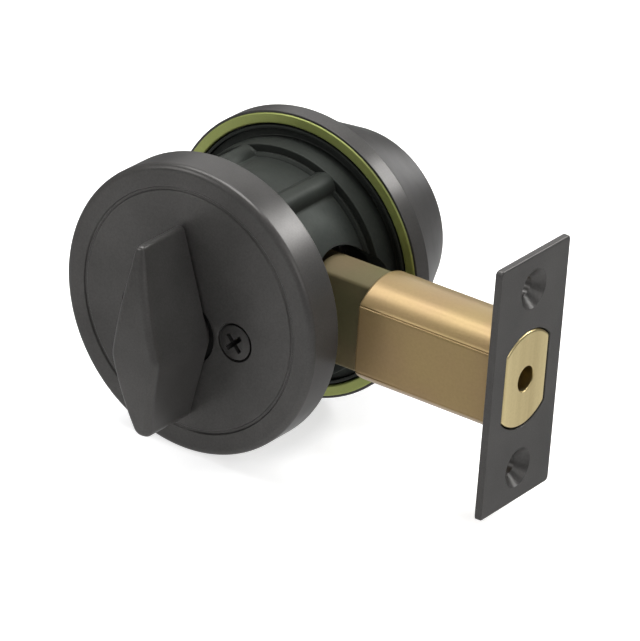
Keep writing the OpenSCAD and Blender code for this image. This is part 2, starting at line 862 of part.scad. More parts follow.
rose();
rose_backing_plate();
thumbturn_bushing();
mounting_screws();
thumbturn();
thumbturn_spring_washer();
thumbturn_retaining_ring();
faceplate();
inner_faceplate();
latch_case();
cam_frame();
frame_rivets();
bolt();
bolt_hardened_pin();
bolt_tail();
tail_rivet();
cam();
cam_drive_pin();
chassis();
chassis_screws();
collar();
backing_ring();
cylinder_body();
cylinder_screws();
anti_drill_pins();
key_plug();
plug_cap();
bottom_pins();
top_pins();
pin_springs();
spring_cover();
tailpiece();
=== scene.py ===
"""Studio view of a single-cylinder deadbolt: thumbturn and rose, tubular latch, key cylinder and collar.

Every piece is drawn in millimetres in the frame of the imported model, and becomes metres in its mesh.
"""
import bpy
import bmesh
import json
import math
from mathutils import Matrix, Vector
from mathutils.geometry import convex_hull_2d


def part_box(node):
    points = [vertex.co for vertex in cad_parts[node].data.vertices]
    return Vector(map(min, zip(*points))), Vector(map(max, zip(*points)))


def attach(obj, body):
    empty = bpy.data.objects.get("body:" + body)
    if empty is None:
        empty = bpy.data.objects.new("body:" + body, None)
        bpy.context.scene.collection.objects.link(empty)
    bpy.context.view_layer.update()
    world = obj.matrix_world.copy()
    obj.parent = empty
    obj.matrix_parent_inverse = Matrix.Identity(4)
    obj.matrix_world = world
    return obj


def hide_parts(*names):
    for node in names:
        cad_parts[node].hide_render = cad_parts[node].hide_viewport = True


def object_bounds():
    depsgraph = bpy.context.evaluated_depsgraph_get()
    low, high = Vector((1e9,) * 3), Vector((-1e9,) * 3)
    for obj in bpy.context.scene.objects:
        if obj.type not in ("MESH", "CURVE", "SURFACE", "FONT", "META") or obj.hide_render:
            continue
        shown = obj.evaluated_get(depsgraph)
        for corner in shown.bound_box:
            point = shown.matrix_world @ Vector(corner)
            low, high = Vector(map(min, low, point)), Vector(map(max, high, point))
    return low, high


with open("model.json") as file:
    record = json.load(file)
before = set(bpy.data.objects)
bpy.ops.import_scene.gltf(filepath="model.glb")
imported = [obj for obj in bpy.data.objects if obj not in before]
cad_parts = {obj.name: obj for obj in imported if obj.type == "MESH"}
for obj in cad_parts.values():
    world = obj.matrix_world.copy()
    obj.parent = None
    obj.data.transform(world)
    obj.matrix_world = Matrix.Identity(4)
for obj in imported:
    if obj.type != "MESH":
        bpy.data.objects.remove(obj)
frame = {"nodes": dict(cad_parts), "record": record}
NODES = frame["nodes"]
CAD_LOW, CAD_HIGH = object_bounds()
MM = 0.001
TAU = 2 * math.pi


# ---- what several sections use

def in_scene(name, data):
    """A new object of the scene."""
    obj = bpy.data.objects.new(name, data)
    bpy.context.scene.collection.objects.link(obj)
    return obj


def new_node(tree, kind, values=(), links=()):
    """A shader node, with (input, constant) and (input, source) pairs."""
    made = tree.nodes.new(kind)
    for name, value in values:
        made.inputs[name].default_value = value
    for name, source in links:
        tree.links.new(source, made.inputs[name])
    return made


def colour_ramp(tree, value, stops):
    """Colour ramp through (position, colour) stops."""
    ramp = new_node(tree, "ShaderNodeValToRGB", links=[("Fac", value)])
    elements = ramp.color_ramp.elements
    while len(elements) < len(stops):
        elements.new(0.5)
    for element, (position, colour) in zip(elements, stops):
        element.position = position
        element.color = (*colour, 1.0)
    return ramp.outputs["Color"]


def grey(level, warmth=0.0):
    """A near-neutral colour; warmth lifts the red and lowers the blue."""
    return (level * (1 + warmth), level, level * (1 - warmth))


# ---- camera

# The camera looks at this point of the lock, from this direction and distance
CAMERA_AIM = Vector((17.9, 0.0, -4.4)) * MM
CAMERA_AZIMUTH = 34.17
CAMERA_ELEVATION = 26.12
CAMERA_ROLL = 4.13
CAMERA_DISTANCE = 1093.5 * MM
CAMERA_LENS = 291.1
CAMERA_SENSOR = 36.0
CAMERA_NEAR, CAMERA_FAR = 0.05, 20.0


def direction(azimuth, elevation):
    """Unit vector from the object towards a viewer; azimuth 0 looks along +Y."""
    a, e = math.radians(azimuth), math.radians(elevation)
    return Vector((math.sin(a) * math.cos(e), -math.cos(a) * math.cos(e), math.sin(e)))


def add_camera():
    """The one camera, with its long lens and slight roll."""
    data = bpy.data.cameras.new("camera")
    data.sensor_fit = "HORIZONTAL"
    data.sensor_width = CAMERA_SENSOR
    data.lens = CAMERA_LENS
    data.clip_start, data.clip_end = CAMERA_NEAR, CAMERA_FAR
    camera = in_scene("camera", data)
    back = direction(CAMERA_AZIMUTH, CAMERA_ELEVATION)
    turn = (-back).to_track_quat("-Z", "Y").to_matrix().to_4x4()
    roll = Matrix.Rotation(math.radians(CAMERA_ROLL), 4, "Z")
    camera.matrix_world = Matrix.Translation(CAMERA_AIM + back * CAMERA_DISTANCE) @ turn @ roll
    bpy.context.scene.camera = camera


# ---- light and floor

# Brightness of the surround by height: (vertical part of the direction, level)
SURROUND = [(-1.0, 0.8), (-0.42, 0.8), (-0.2, 0.15), (0.2, 0.15), (0.6, 0.38), (1.0, 0.38)]
# Floor: half its side in metres, and its own glow
FLOOR_HALF = 3.0
FLOOR_GLOW = 0.66
# Soft lights far off in the surround: azimuth, elevation, angular radius, radiance
SOFT_LIGHTS = {
    "back": (155.0, 36.0, 8.0, 20.0),
    "rear": (213.0, 30.0, 20.0, 1.3),
    "above": (200.0, 78.0, 18.0, 9.0),
    "edge": (266.0, 58.0, 9.0, 9.0),
    "cone": (190.0, 2.0, 6.0, 3.5),
    "side": (74.0, 30.0, 16.0, 1.6),
}
# Degrees over which a soft light fades, on each side of its radius
LIGHT_EDGE = 4.0
# The one lamp: azimuth, elevation, distance in m, side in m, radiance
FRONT_LAMP = (-40.0, 26.0, 0.9, 0.35, 5.0)


def add_world():
    """A plain pale surround, dimmer along the horizon, with soft round lights in it."""
    world = bpy.data.worlds.new("studio")
    world.use_nodes = True
    tree = world.node_tree
    towards = tree.nodes.new("ShaderNodeTexCoord").outputs["Generated"]
    parts = new_node(tree, "ShaderNodeSeparateXYZ", links=[(0, towards)])
    share = new_node(tree, "ShaderNodeMapRange", [("From Min", -1.0)], [("Value", parts.outputs["Z"])])
    levels = [((height + 1) / 2, grey(level)) for height, level in SURROUND]
    total = colour_ramp(tree, share.outputs["Result"], levels)
    for azimuth, elevation, radius, radiance in SOFT_LIGHTS.values():
        facing = new_node(tree, "ShaderNodeVectorMath", [(1, direction(azimuth, elevation))], [(0, towards)])
        facing.operation = "DOT_PRODUCT"
        outer, inner = [math.cos(math.radians(radius + edge)) for edge in (LIGHT_EDGE, -LIGHT_EDGE)]
        limits = [("From Min", outer), ("From Max", inner), ("To Max", radiance)]
        glow = new_node(tree, "ShaderNodeMapRange", limits, [("Value", facing.outputs["Value"])])
        glow.interpolation_type = "SMOOTHSTEP"
        more = new_node(tree, "ShaderNodeMath", links=[(0, total), (1, glow.outputs["Result"])])
        total = more.outputs["Value"]
    tree.links.new(total, tree.nodes["Background"].inputs["Strength"])
    tree.nodes["Background"].inputs["Color"].default_value = (1.0, 1.0, 1.0, 1.0)
    bpy.context.scene.world = world


def add_lamp(name, azimuth, elevation, distance, side, radiance):
    """Square lamp that faces the origin."""
    data = bpy.data.lights.new(name, "AREA")
    data.shape = "SQUARE"
    data.size = side
    data.energy = radiance * math.pi * side * side
    lamp = in_scene(name, data)
    lamp.visible_camera = False
    towards = direction(azimuth, elevation)
    lamp.matrix_world = (Matrix.Translation(towards * distance)
                         @ towards.to_track_quat("Z", "Y").to_matrix().to_4x4())


def add_floor():
    """A pale floor under the lowest point of the lock."""
    height = CAD_LOW.z
    corners = [(-FLOOR_HALF, -FLOOR_HALF), (FLOOR_HALF, -FLOOR_HALF),
               (FLOOR_HALF, FLOOR_HALF), (-FLOOR_HALF, FLOOR_HALF)]
    mesh = bpy.data.meshes.new("floor")
    mesh.from_pydata([(x, y, height) for x, y in corners], [], [(0, 1, 2, 3)])
    mesh.materials.append(pale_floor())
    floor = in_scene("floor", mesh)
    floor.visible_glossy = False


# ---- materials

# A roughness below about 0.28 counts as a mirror in the denoiser's guides. A noise that crosses it
# leaves patches, so every roughness that shows stays above it.

class Nodes:
    """A material's node tree, with short ways to add what the metals share."""

    def __init__(self, name):
        self.material = bpy.data.materials.new(name)
        self.material.use_nodes = True
        self.tree = self.material.node_tree
        self.shader = self.tree.nodes["Principled BSDF"]
        self.place = self.tree.nodes.new("ShaderNodeTexCoord").outputs["Object"]

    def link(self, source, target):
        self.tree.links.new(source, target)

    def noise(self, scale, detail, stretch=(1, 1, 1)):
        """Noise of a given scale per metre, drawn out along the axes whose stretch is below 1."""
        place = new_node(self.tree, "ShaderNodeMapping", [("Scale", stretch)], [("Vector", self.place)])
        noise = new_node(self.tree, "ShaderNodeTexNoise", [("Scale", scale), ("Detail", detail)],
                         [("Vector", place.outputs["Vector"])])
        return noise.outputs["Fac"]

    def ramp(self, value, stops):
        return colour_ramp(self.tree, value, stops)

    def spread(self, value, low, high):
        """Noise between about 0.3 and 0.7 mapped to low and high."""
        limits = [("From Min", 0.3), ("From Max", 0.7), ("To Min", low), ("To Max", high)]
        return new_node(self.tree, "ShaderNodeMapRange", limits, [("Value", value)]).outputs["Result"]

    def multiplied(self, factor, first, second):
        """The first colour, multiplied by a constant share of the second."""
        mix = self.tree.nodes.new("ShaderNodeMix")
        mix.data_type = "RGBA"
        mix.blend_type = "MULTIPLY"
        mix.inputs[0].default_value = factor
        self.link(first, mix.inputs[6])
        self.link(second, mix.inputs[7])
        return mix.outputs[2]

    def bump(self, layers):
        """Bumps in a row, each (height, strength, depth in mm); they end in the shader's normal."""
        normal = None
        for height, strength, depth in layers:
            bump = new_node(self.tree, "ShaderNodeBump", [("Strength", strength), ("Distance", depth * MM)],
                            [("Height", height)])
            if normal is not None:
                self.link(normal, bump.inputs["Normal"])
            normal = bump.outputs["Normal"]
        self.link(normal, self.shader.inputs["Normal"])

    def finish(self, metallic, specular, edge=1.0):
        """Sets the constants; edge is how much of the gloss is left at a glancing angle."""
        self.shader.inputs["Metallic"].default_value = metallic
        self.shader.inputs["Specular IOR Level"].default_value = specular
        self.shader.inputs["Specular Tint"].default_value = (edge, edge, edge, 1.0)
        return self.material


def bronze(name, level, roughness, warmth=0.035):
    """Dark satin bronze coating: faint cloudiness, a fine powdery grain and soft roughness patches."""
    m = Nodes(name)
    cloud = m.ramp(m.noise(70.0, 4.0), [(0.3, grey(level * 0.88, warmth)), (0.7, grey(level * 1.12, warmth))])
    speck = m.ramp(m.noise(2600.0, 2.0), [(0.35, grey(0.85)), (0.65, grey(1.12))])
    m.link(m.multiplied(0.5, cloud, speck), m.shader.inputs["Base Color"])
    m.link(m.spread(m.noise(160.0, 4.0), roughness - 0.02, roughness + 0.03), m.shader.inputs["Roughness"])
    m.bump([(m.noise(2200.0, 3.0), 0.09, 0.02), (m.noise(350.0, 2.0), 0.05, 0.03)])
    return m.finish(0.45, specular=0.35, edge=0.35)


def casting(name, level, green):
    """Dark coated zinc casting: sandy grain over a slightly uneven skin."""
    m = Nodes(name)
    low = (level * 0.85, level * (0.85 + green), level * 0.85)
    high = (level * 1.15, level * (1.15 + green), level * 1.12)
    cloud = m.ramp(m.noise(90.0, 4.0), [(0.3, low), (0.7, high)])
    speck = m.ramp(m.noise(1500.0, 3.0), [(0.3, grey(0.85)), (0.7, grey(1.12))])
    m.link(m.multiplied(0.6, cloud, speck), m.shader.inputs["Base Color"])
    m.link(m.spread(m.noise(240.0, 2.0), 0.47, 0.57), m.shader.inputs["Roughness"])
    m.bump([(m.noise(1500.0, 3.0), 0.15, 0.03), (m.noise(260.0, 2.0), 0.08, 0.05)])
    return m.finish(0.5, specular=0.3, edge=0.35)


def plated(name, stops, roughness, lines=(1, 1, 1), clouds=55.0, bands=(1, 1, 1), metallic=1.0,
           specular=0.3):
    """Plated sheet metal: colour drifting between the stops, fine drawing lines and a satin skin."""
    m = Nodes(name)
    drift = m.ramp(m.noise(clouds, 4.0, bands), stops)
    speck = m.ramp(m.noise(1500.0, 3.0), [(0.3, grey(0.9)), (0.7, grey(1.05))])
    m.link(m.multiplied(0.5, drift, speck), m.shader.inputs["Base Color"])
    scratches = m.noise(1400.0, 3.0, lines)
    m.link(m.spread(scratches, roughness - 0.04, roughness + 0.05), m.shader.inputs["Roughness"])
    m.bump([(scratches, 0.12, 0.012), (m.noise(300.0, 2.0), 0.04, 0.04)])
    return m.finish(metallic, specular)


def turned_metal(name, colour, roughness):
    """Machined metal: a clean colour with fine marks."""
    dark = tuple(c * 0.88 for c in colour)
    return plated(name, [(0.3, dark), (0.7, colour)], roughness, clouds=120.0)


def moulded(name, colour, roughness):
    """Moulded plastic with a fine matt grain."""
    m = Nodes(name)
    light = tuple(c * 1.5 for c in colour)
    m.link(m.ramp(m.noise(900.0, 3.0), [(0.35, colour), (0.65, light)]), m.shader.inputs["Base Color"])
    m.link(m.spread(m.noise(500.0, 3.0), roughness - 0.05, roughness + 0.05), m.shader.inputs["Roughness"])
    m.bump([(m.noise(2400.0, 2.0), 0.15, 0.02)])
    return m.finish(0.0, specular=0.35)


def pale_floor():
    """Matt pale floor with a glow of its own, which leaves the shadows on it faint."""
    m = Nodes("pale_floor")
    m.link(m.ramp(m.noise(4.0, 2.0), [(0.3, grey(0.66)), (0.7, grey(0.7))]), m.shader.inputs["Base Color"])
    m.link(m.spread(m.noise(30.0, 2.0), 0.75, 0.85), m.shader.inputs["Roughness"])
    m.shader.inputs["Emission Color"].default_value = (1.0, 1.0, 1.0, 1.0)
    m.shader.inputs["Emission Strength"].default_value = FLOOR_GLOW
    return m.finish(0.0, specular=0.1)


def make_materials():
    """One material for each of the record's slots."""
    # Drawing lines run along the axis whose stretch is small
    along_x = (0.02, 1, 1)
    along_z = (1, 1, 0.02)
    tan = [(0.25, (0.26, 0.175, 0.092)), (0.5, (0.27, 0.187, 0.088)), (0.75, (0.28, 0.204, 0.088))]
    olive = [(0.3, (0.135, 0.098, 0.058)), (0.7, (0.112, 0.102, 0.052))]
    lime = [(0.25, (0.29, 0.34, 0.10)), (0.75, (0.38, 0.41, 0.14))]
    gold = [(0.35, (0.62, 0.50, 0.25)), (0.65, (0.84, 0.70, 0.37))]
    zinc = [(0.3, (0.48, 0.49, 0.51)), (0.7, (0.60, 0.61, 0.62))]
    return {
        "bronze": bronze("bronze", 0.066, 0.31),
        "bronze_screw": bronze("bronze_screw", 0.050, 0.31),
        "bronze_brass": bronze("bronze_brass", 0.085, 0.33, warmth=0.12),
        "dark_casting": casting("dark_casting", 0.033, 0.10),
        "zinc_steel": plated("zinc_steel", zinc, 0.34, along_z),
        "black_nylon": moulded("black_nylon", (0.008, 0.008, 0.008), 0.55),
        "spring_steel": turned_metal("spring_steel", (0.42, 0.42, 0.43), 0.34),
        "dichromate_steel": plated("dichromate_steel", tan, 0.34, along_x, metallic=0.5),
        "olive_dichromate": plated("olive_dichromate", olive, 0.52, along_x, metallic=0.0, specular=0.06),
        "green_dichromate": plated("green_dichromate", lime, 0.40, metallic=0.6),
        "bolt_brass": plated("bolt_brass", gold, 0.33, along_z, clouds=95.0, bands=(1, 1, 0.05)),
        "hardened_steel": turned_metal("hardened_steel", (0.33, 0.34, 0.36), 0.34),
        "pin_brass": turned_metal("pin_brass", (0.60, 0.45, 0.20), 0.34),
        "pin_nickel": turned_metal("pin_nickel", (0.60, 0.58, 0.54), 0.22),
    }


# ---- outlines

ARC_STEP = math.radians(9)
# Points along a flatted outline: steps of a dome's half and of a fold
DOME_STEPS, FOLD_STEPS = 14, 6
# Half width of a seam line, as a share of one step of the fold
SEAM_LIP = 0.7
# Gap that keeps a cutter's flange off the face it opens
CLEAR = 0.004
# How far a cutter runs past the solid
PAST = 1.0


def turned(point, angle):
    """A 2D point turned about the origin."""
    c, s = math.cos(angle), math.sin(angle)
    return Vector((point.x * c - point.y * s, point.x * s + point.y * c))


def quarter_turn(steps):
    """Angles from 0 to 90 degrees."""
    return [math.pi / 2 * k / steps for k in range(steps + 1)]


def rounded(corners):
    """Closed outline through corners (a, b) or (a, b, radius), with an arc at each rounded one."""
    path = []
    count = len(corners)
    for i, corner in enumerate(corners):
        here = Vector(corner[:2])
        if len(corner) == 2:
            path.append(here)
            continue
        radius = corner[2]
        before = (Vector(corners[i - 1][:2]) - here).normalized()
        after = (Vector(corners[(i + 1) % count][:2]) - here).normalized()
        half = before.angle(after) / 2
        centre = here + (before + after).normalized() * (radius / math.sin(half))
        start = here + before * (radius / math.tan(half)) - centre
        end = here + after * (radius / math.tan(half)) - centre
        sweep = math.pi - 2 * half
        if start.x * end.y - start.y * end.x < 0:
            sweep = -sweep
        steps = max(2, math.ceil(abs(sweep) / ARC_STEP))
        path += [centre + turned(start, sweep * k / steps) for k in range(steps + 1)]
    return path


def flatted(radius, half, fold, seam=0.0):
    """Outline in (y, z): a circle cut by two flats at +-half, its folds rounded and perhaps seamed."""
    rise = math.sqrt((radius - fold) ** 2 - (half - fold) ** 2)
    lean = math.atan2(rise, half - fold)
    bends = []
    for k in range(FOLD_STEPS + 1):
        a = lean * k / FOLD_STEPS
        if seam > 0 and k == FOLD_STEPS // 2:
            lip = SEAM_LIP * lean / FOLD_STEPS
            bends += [(a - lip, 0.0), (a, seam), (a + lip, 0.0)]
        else:
            bends.append((a, 0.0))
    quarter = [Vector((half, 0.0))]
    for a, dip in bends:
        reach = fold - dip
        quarter.append(Vector((half - fold + reach * math.cos(a), rise + reach * math.sin(a))))
    for k in range(1, DOME_STEPS + 1):
        a = lean + (math.pi / 2 - lean) * k / DOME_STEPS
        quarter.append(Vector((radius * math.cos(a), radius * math.sin(a))))
    left = [Vector((-p.x, p.y)) for p in reversed(quarter[:-1])]
    upper = quarter + left
    lower = [Vector((p.x, -p.y)) for p in reversed(upper[1:-1])]
    return upper + lower


# ---- mesh tools

# Points round a lathed shape
DRUM_STEPS, COVER_STEPS, CYLINDER_STEPS, PLUG_STEPS = 360, 256, 192, 128
HOLE_STEPS, ROD_STEPS, BORE_STEPS, THREAD_STEPS = 96, 64, 32, 24
# Points closer than this are merged
MERGE = CLEAR / 10
AXIS_X, AXIS_Y, AXIS_Z = 0, 1, 2


def from_bmesh(name, mesh):
    """An object, still in millimetres, from a mesh."""
    bmesh.ops.recalc_face_normals(mesh, faces=mesh.faces)
    data = bpy.data.meshes.new(name)
    mesh.to_mesh(data)
    mesh.free()
    return in_scene(name, data)


def spot(axis, centre, radius, along, angle):
    """Point at a radius and angle about an axis through centre, which names the other two coordinates."""
    a, b = centre[0] + radius * math.cos(angle), centre[1] + radius * math.sin(angle)
    if axis == AXIS_X:
        return (along, a, b)
    if axis == AXIS_Y:
        return (a, along, b)
    return (a, b, along)


def bridge(mesh, first, second):
    """Faces between two rings, either of which may be a single point."""
    count = max(len(first), len(second))
    if len(first) == 1 and len(second) == 1:
        return
    for k in range(count):
        corners = [first[k % len(first)], first[(k + 1) % len(first)],
                   second[(k + 1) % len(second)], second[k % len(second)]]
        unique = list(dict.fromkeys(corners))
        if len(unique) > 2:
            mesh.faces.new(unique)


def lathe(name, outline, centre=(0.0, 0.0), axis=AXIS_Y, steps=COVER_STEPS, swell=None):
    """Solid of revolution of an outline of (radius, place); swell may change the radius at an angle."""
    mesh = bmesh.new()
    rings = []
    for radius, along in outline:
        if radius < CLEAR:
            rings.append([mesh.verts.new(spot(axis, centre, 0.0, along, 0.0))])
            continue
        ring = []
        for k in range(steps):
            angle = TAU * k / steps
            reach = swell(radius, along, angle) if swell else radius
            ring.append(mesh.verts.new(spot(axis, centre, reach, along, angle)))
        rings.append(ring)
    for i, ring in enumerate(rings):
        bridge(mesh, ring, rings[(i + 1) % len(rings)])
    bmesh.ops.remove_doubles(mesh, verts=mesh.verts, dist=MERGE)
    return from_bmesh(name, mesh)


def loft(name, rings):
    """Closed solid through rings of the same number of points, with flat ends."""
    mesh = bmesh.new()
    rows = [[mesh.verts.new(point) for point in ring] for ring in rings]
    for first, second in zip(rows, rows[1:]):
        bridge(mesh, first, second)
    mesh.faces.new(rows[0])
    mesh.faces.new(rows[-1])
    bmesh.ops.remove_doubles(mesh, verts=mesh.verts, dist=MERGE)
    return from_bmesh(name, mesh)


def loft_x(name, stations):
    """Loft along X through (x, outline in (y, z)) stations."""
    return loft(name, [[(x, p.x, p.y) for p in outline] for x, outline in stations])


def loft_y(name, stations):
    """Loft along Y through (y, outline in (x, z)) stations."""
    return loft(name, [[(p.x, y, p.y) for p in outline] for y, outline in stations])


def combine(obj, other, operation):
    """Boolean of two solids; the result stays in obj and the other goes."""
    modifier = obj.modifiers.new("combine", "BOOLEAN")
    modifier.operation = operation
    modifier.solver = "MANIFOLD"
    modifier.object = other
    graph = bpy.context.evaluated_depsgraph_get()
    result = bpy.data.meshes.new_from_object(obj.evaluated_get(graph))
    old = obj.data
    obj.modifiers.clear()
    obj.data = result
    bpy.data.meshes.remove(old)
    bpy.data.objects.remove(other)
    return obj


def cut(obj, cutter):
    return combine(obj, cutter, "DIFFERENCE")


def add(obj, other):
    return combine(obj, other, "UNION")


def block(low, high):
    """Plain cutter between two corners."""
    rectangle = [Vector((y, z)) for y, z in ((low[1], low[2]), (high[1], low[2]),
                                             (high[1], high[2]), (low[1], high[2]))]
    return loft_x("block", [(low[0], rectangle), (high[0], rectangle)])


def rod(radius, start, end, centre, axis=AXIS_Y, steps=ROD_STEPS):
    """Plain cylinder, used to cut or to add."""
    return lathe("rod", [(0, start), (radius, start), (radius, end), (0, end)], centre, axis, steps)


def bore(obj, mouth, face, end, centre, lip, axis=AXIS_Y, inner=()):
    """Hole from a face to an end: a rounded lip at its mouth, then any points (radius, depth) below."""
    way = 1 if end > face else -1
    flange, lid, wide = face - way * CLEAR, face - way * PAST, mouth + 3 * lip
    walls = [(radius, face + way * depth) for radius, depth in inner]
    last = inner[-1][0] if inner else mouth
    outline = rounded([(0, lid), (wide, lid), (wide, flange), (mouth, flange, lip), *walls,
                       (last, end), (0, end)])
    return cut(obj, lathe("bore", outline, centre, axis, HOLE_STEPS))


def joined(name, parts):
    """Several solids as one piece."""
    mesh = bmesh.new()
    for part in parts:
        mesh.from_mesh(part.data)
        bpy.data.objects.remove(part)
    return from_bmesh(name, mesh)


# ---- pieces and nodes

# Edges past the first angle stay sharp; on the kept nodes those past the second are eased
SMOOTH_ANGLE, EASE_ANGLE = math.radians(32), math.radians(40)
EASE_STEPS, NORMAL_WEIGHT, WELD_GAP = 2, 60, 0.002
SLOT_OF = {part["node"]: part["material_slot"] for part in frame["record"]["subparts"]}
BODY_OF = {node: body for body, nodes in frame["record"]["behaviour"]["bodies"].items() for node in nodes}


def span(node):
    """Lowest and highest corner of a CAD node, in millimetres."""
    low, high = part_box(node)
    return low / MM, high / MM


def shade(obj):
    """Smooth faces, sharp only at true edges, with flat faces kept flat."""
    for face in obj.data.polygons:
        face.use_smooth = True
    obj.data.set_sharp_from_angle(angle=SMOOTH_ANGLE)
    weighted = obj.modifiers.new("weighted_normals", "WEIGHTED_NORMAL")
    weighted.keep_sharp = True
    weighted.weight = NORMAL_WEIGHT


def clothe(obj, node):
    """The one material of a node's slot."""
    obj.data.materials.clear()
    obj.data.materials.append(MATERIALS[SLOT_OF[node]])


def stand_for(obj, node):
    """The piece takes a CAD node's place, body, slot and material."""
    obj.name = node + "_detailed"
    obj.data.name = obj.name
    obj.data.transform(Matrix.Scale(MM, 4))
    clothe(obj, node)
    shade(obj)
    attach(obj, BODY_OF[node])
    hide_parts(node)


def keep(node, edge):
    """A CAD node that keeps its shape: its edges are eased and it takes its slot's material."""
    obj = NODES[node]
    clothe(obj, node)
    weld = obj.modifiers.new("weld", "WELD")
    weld.merge_threshold = WELD_GAP * MM
    ease = obj.modifiers.new("ease", "BEVEL")
    ease.width = edge * MM
    ease.segments = EASE_STEPS
    ease.limit_method = "ANGLE"
    ease.angle_limit = EASE_ANGLE
    ease.harden_normals = True
    weighted = obj.modifiers.new("weighted_normals", "WEIGHTED_NORMAL")
    weighted.keep_sharp = True


# Axes that several pieces share
CENTRE = (0.0, 0.0)
SPINDLE_Z = (span("key_plug")[0].z + span("key_plug")[1].z) / 2
SPINDLE = (0.0, SPINDLE_Z)
SCREW_HEAD_R, SCREW_HOLE_R = 3.9, 2.6
SCREW_X = span("mounting_screws")[1].x - SCREW_HEAD_R
SCREW_Z = (span("mounting_screws")[0].z + span("mounting_screws")[1].z) / 2
SCREWS = [(-SCREW_X, SCREW_Z), (SCREW_X, SCREW_Z)]


# ---- thumbturn side

ROSE_WALL, ROSE_FACE, ROSE_EDGE = 1.8, 2.0, 1.5
GROOVE_R, GROOVE_W, GROOVE_DEPTH, GROOVE_LIP = 27.05, 0.95, 0.34, 0.24
BUSHING_HOLE_R, BUSHING_HOLE_LIP = 7.2, 0.25
BOSS_R = 4.6
# Countersinks of the rose: their mouth, straight wall, depth of the cone, and lip
SINK_R, SINK_WALL, SINK_DEPTH, SINK_LIP = SCREW_HEAD_R + 0.45, 0.55, 1.5, 0.06
# How far an added solid runs into the one it joins
BITE = 0.2


def make_rose():
    """Hollow round cover with a groove, two screw bosses and the hole of the thumbturn's bushing."""
    low, high = span("rose")
    radius, face, back = high.x, low.y, high.y
    inside, inner = face + ROSE_FACE, radius - ROSE_WALL
    groove_in, groove_out = GROOVE_R - GROOVE_W / 2, GROOVE_R + GROOVE_W / 2
    floor = face + GROOVE_DEPTH
    rose = lathe("rose", rounded([
        (0, face), (groove_in, face, GROOVE_LIP), (groove_in + GROOVE_W / 4, floor, 0.08),
        (groove_out - GROOVE_W / 4, floor, 0.08), (groove_out, face, GROOVE_LIP),
        (radius, face, ROSE_EDGE), (radius, back, 0.35), (inner, back, 0.25),
        (inner, inside, 1.0), (0, inside)]))
    for centre in SCREWS:
        add(rose, rod(BOSS_R, inside - BITE, span("rose_backing_plate")[0].y, centre))
    bore(rose, BUSHING_HOLE_R, face, back, SPINDLE, BUSHING_HOLE_LIP)
    for centre in SCREWS:
        bore(rose, SINK_R, face, back, centre, SINK_LIP,
             inner=[(SINK_R, SINK_WALL), (SCREW_HOLE_R, SINK_WALL + SINK_DEPTH)])
    stand_for(rose, "rose")


# Blade: reach above and below the spindle, half widths at back, front and upper end, and foot
BLADE_UP, BLADE_DOWN = 24.3, 19.1
BLADE_BASE_HALF, BLADE_FRONT_HALF, BLADE_TIP_HALF = 6.6, 5.9, 0.95
BLADE_FOOT_R, BLADE_FOOT_SHIFT = 2.3, 0.8
# Its reach in front of the rose, gap from it, crown and lean in degrees
BLADE_DEPTH, BLADE_GAP, BLADE_CROWN_R, BLADE_LEAN = 18.3, 1.0, 71.0, 5.5
# Radii of its front and upper edges, and the share of a narrow slice's half width that a fold takes
BLADE_FOLD, BLADE_END_EDGE, FOLD_SHARE = 1.5, 0.7, 0.75
# Slices over its height, points round an outline, steps of a fold and of the upper edge
BLADE_SLICES, OUTLINE_STEPS, BLADE_FOLD_STEPS, END_STEPS = 120, 120, 8, 6
# The lowest slice's height above the outline's lowest point, the least fold, and a rounding margin
SLIVER, LEAST_FOLD, NEAR = 0.002, 1e-5, 1e-6
HUB_R, RING_GROOVE_R, HUB_SINK = 5.42, 4.7, 0.5
TAIL_SLOT_HALF_X, TAIL_SLOT_HALF_Z, TAIL_SLOT_DEPTH = 1.25, 3.35, 4.6


def blade_outline(half):
    """Outline of the blade at one depth: round middle and foot, narrow flat upper end."""
    points = []
    for k in range(OUTLINE_STEPS):
        angle = TAU * k / OUTLINE_STEPS
        ray = Vector((math.cos(angle), math.sin(angle)))
        points.append(ray * half)
        points.append(Vector((-BLADE_FOOT_SHIFT, BLADE_FOOT_R - BLADE_DOWN)) + ray * BLADE_FOOT_R)
    points += [Vector((side * BLADE_TIP_HALF, BLADE_UP)) for side in (-1, 1)]
    return [points[i] for i in convex_hull_2d(points)]


def blade_sides(outline, level):
    """Left and right edge of an outline at a height."""
    crossings = []
    for here, there in zip(outline, outline[1:] + outline[:1]):
        low, high = sorted((here, there), key=lambda p: p.y)
        if high.y - low.y > NEAR and low.y - NEAR <= level <= high.y + NEAR:
            crossings.append(low.x + (high.x - low.x) * (level - low.y) / (high.y - low.y))
    return min(crossings), max(crossings)


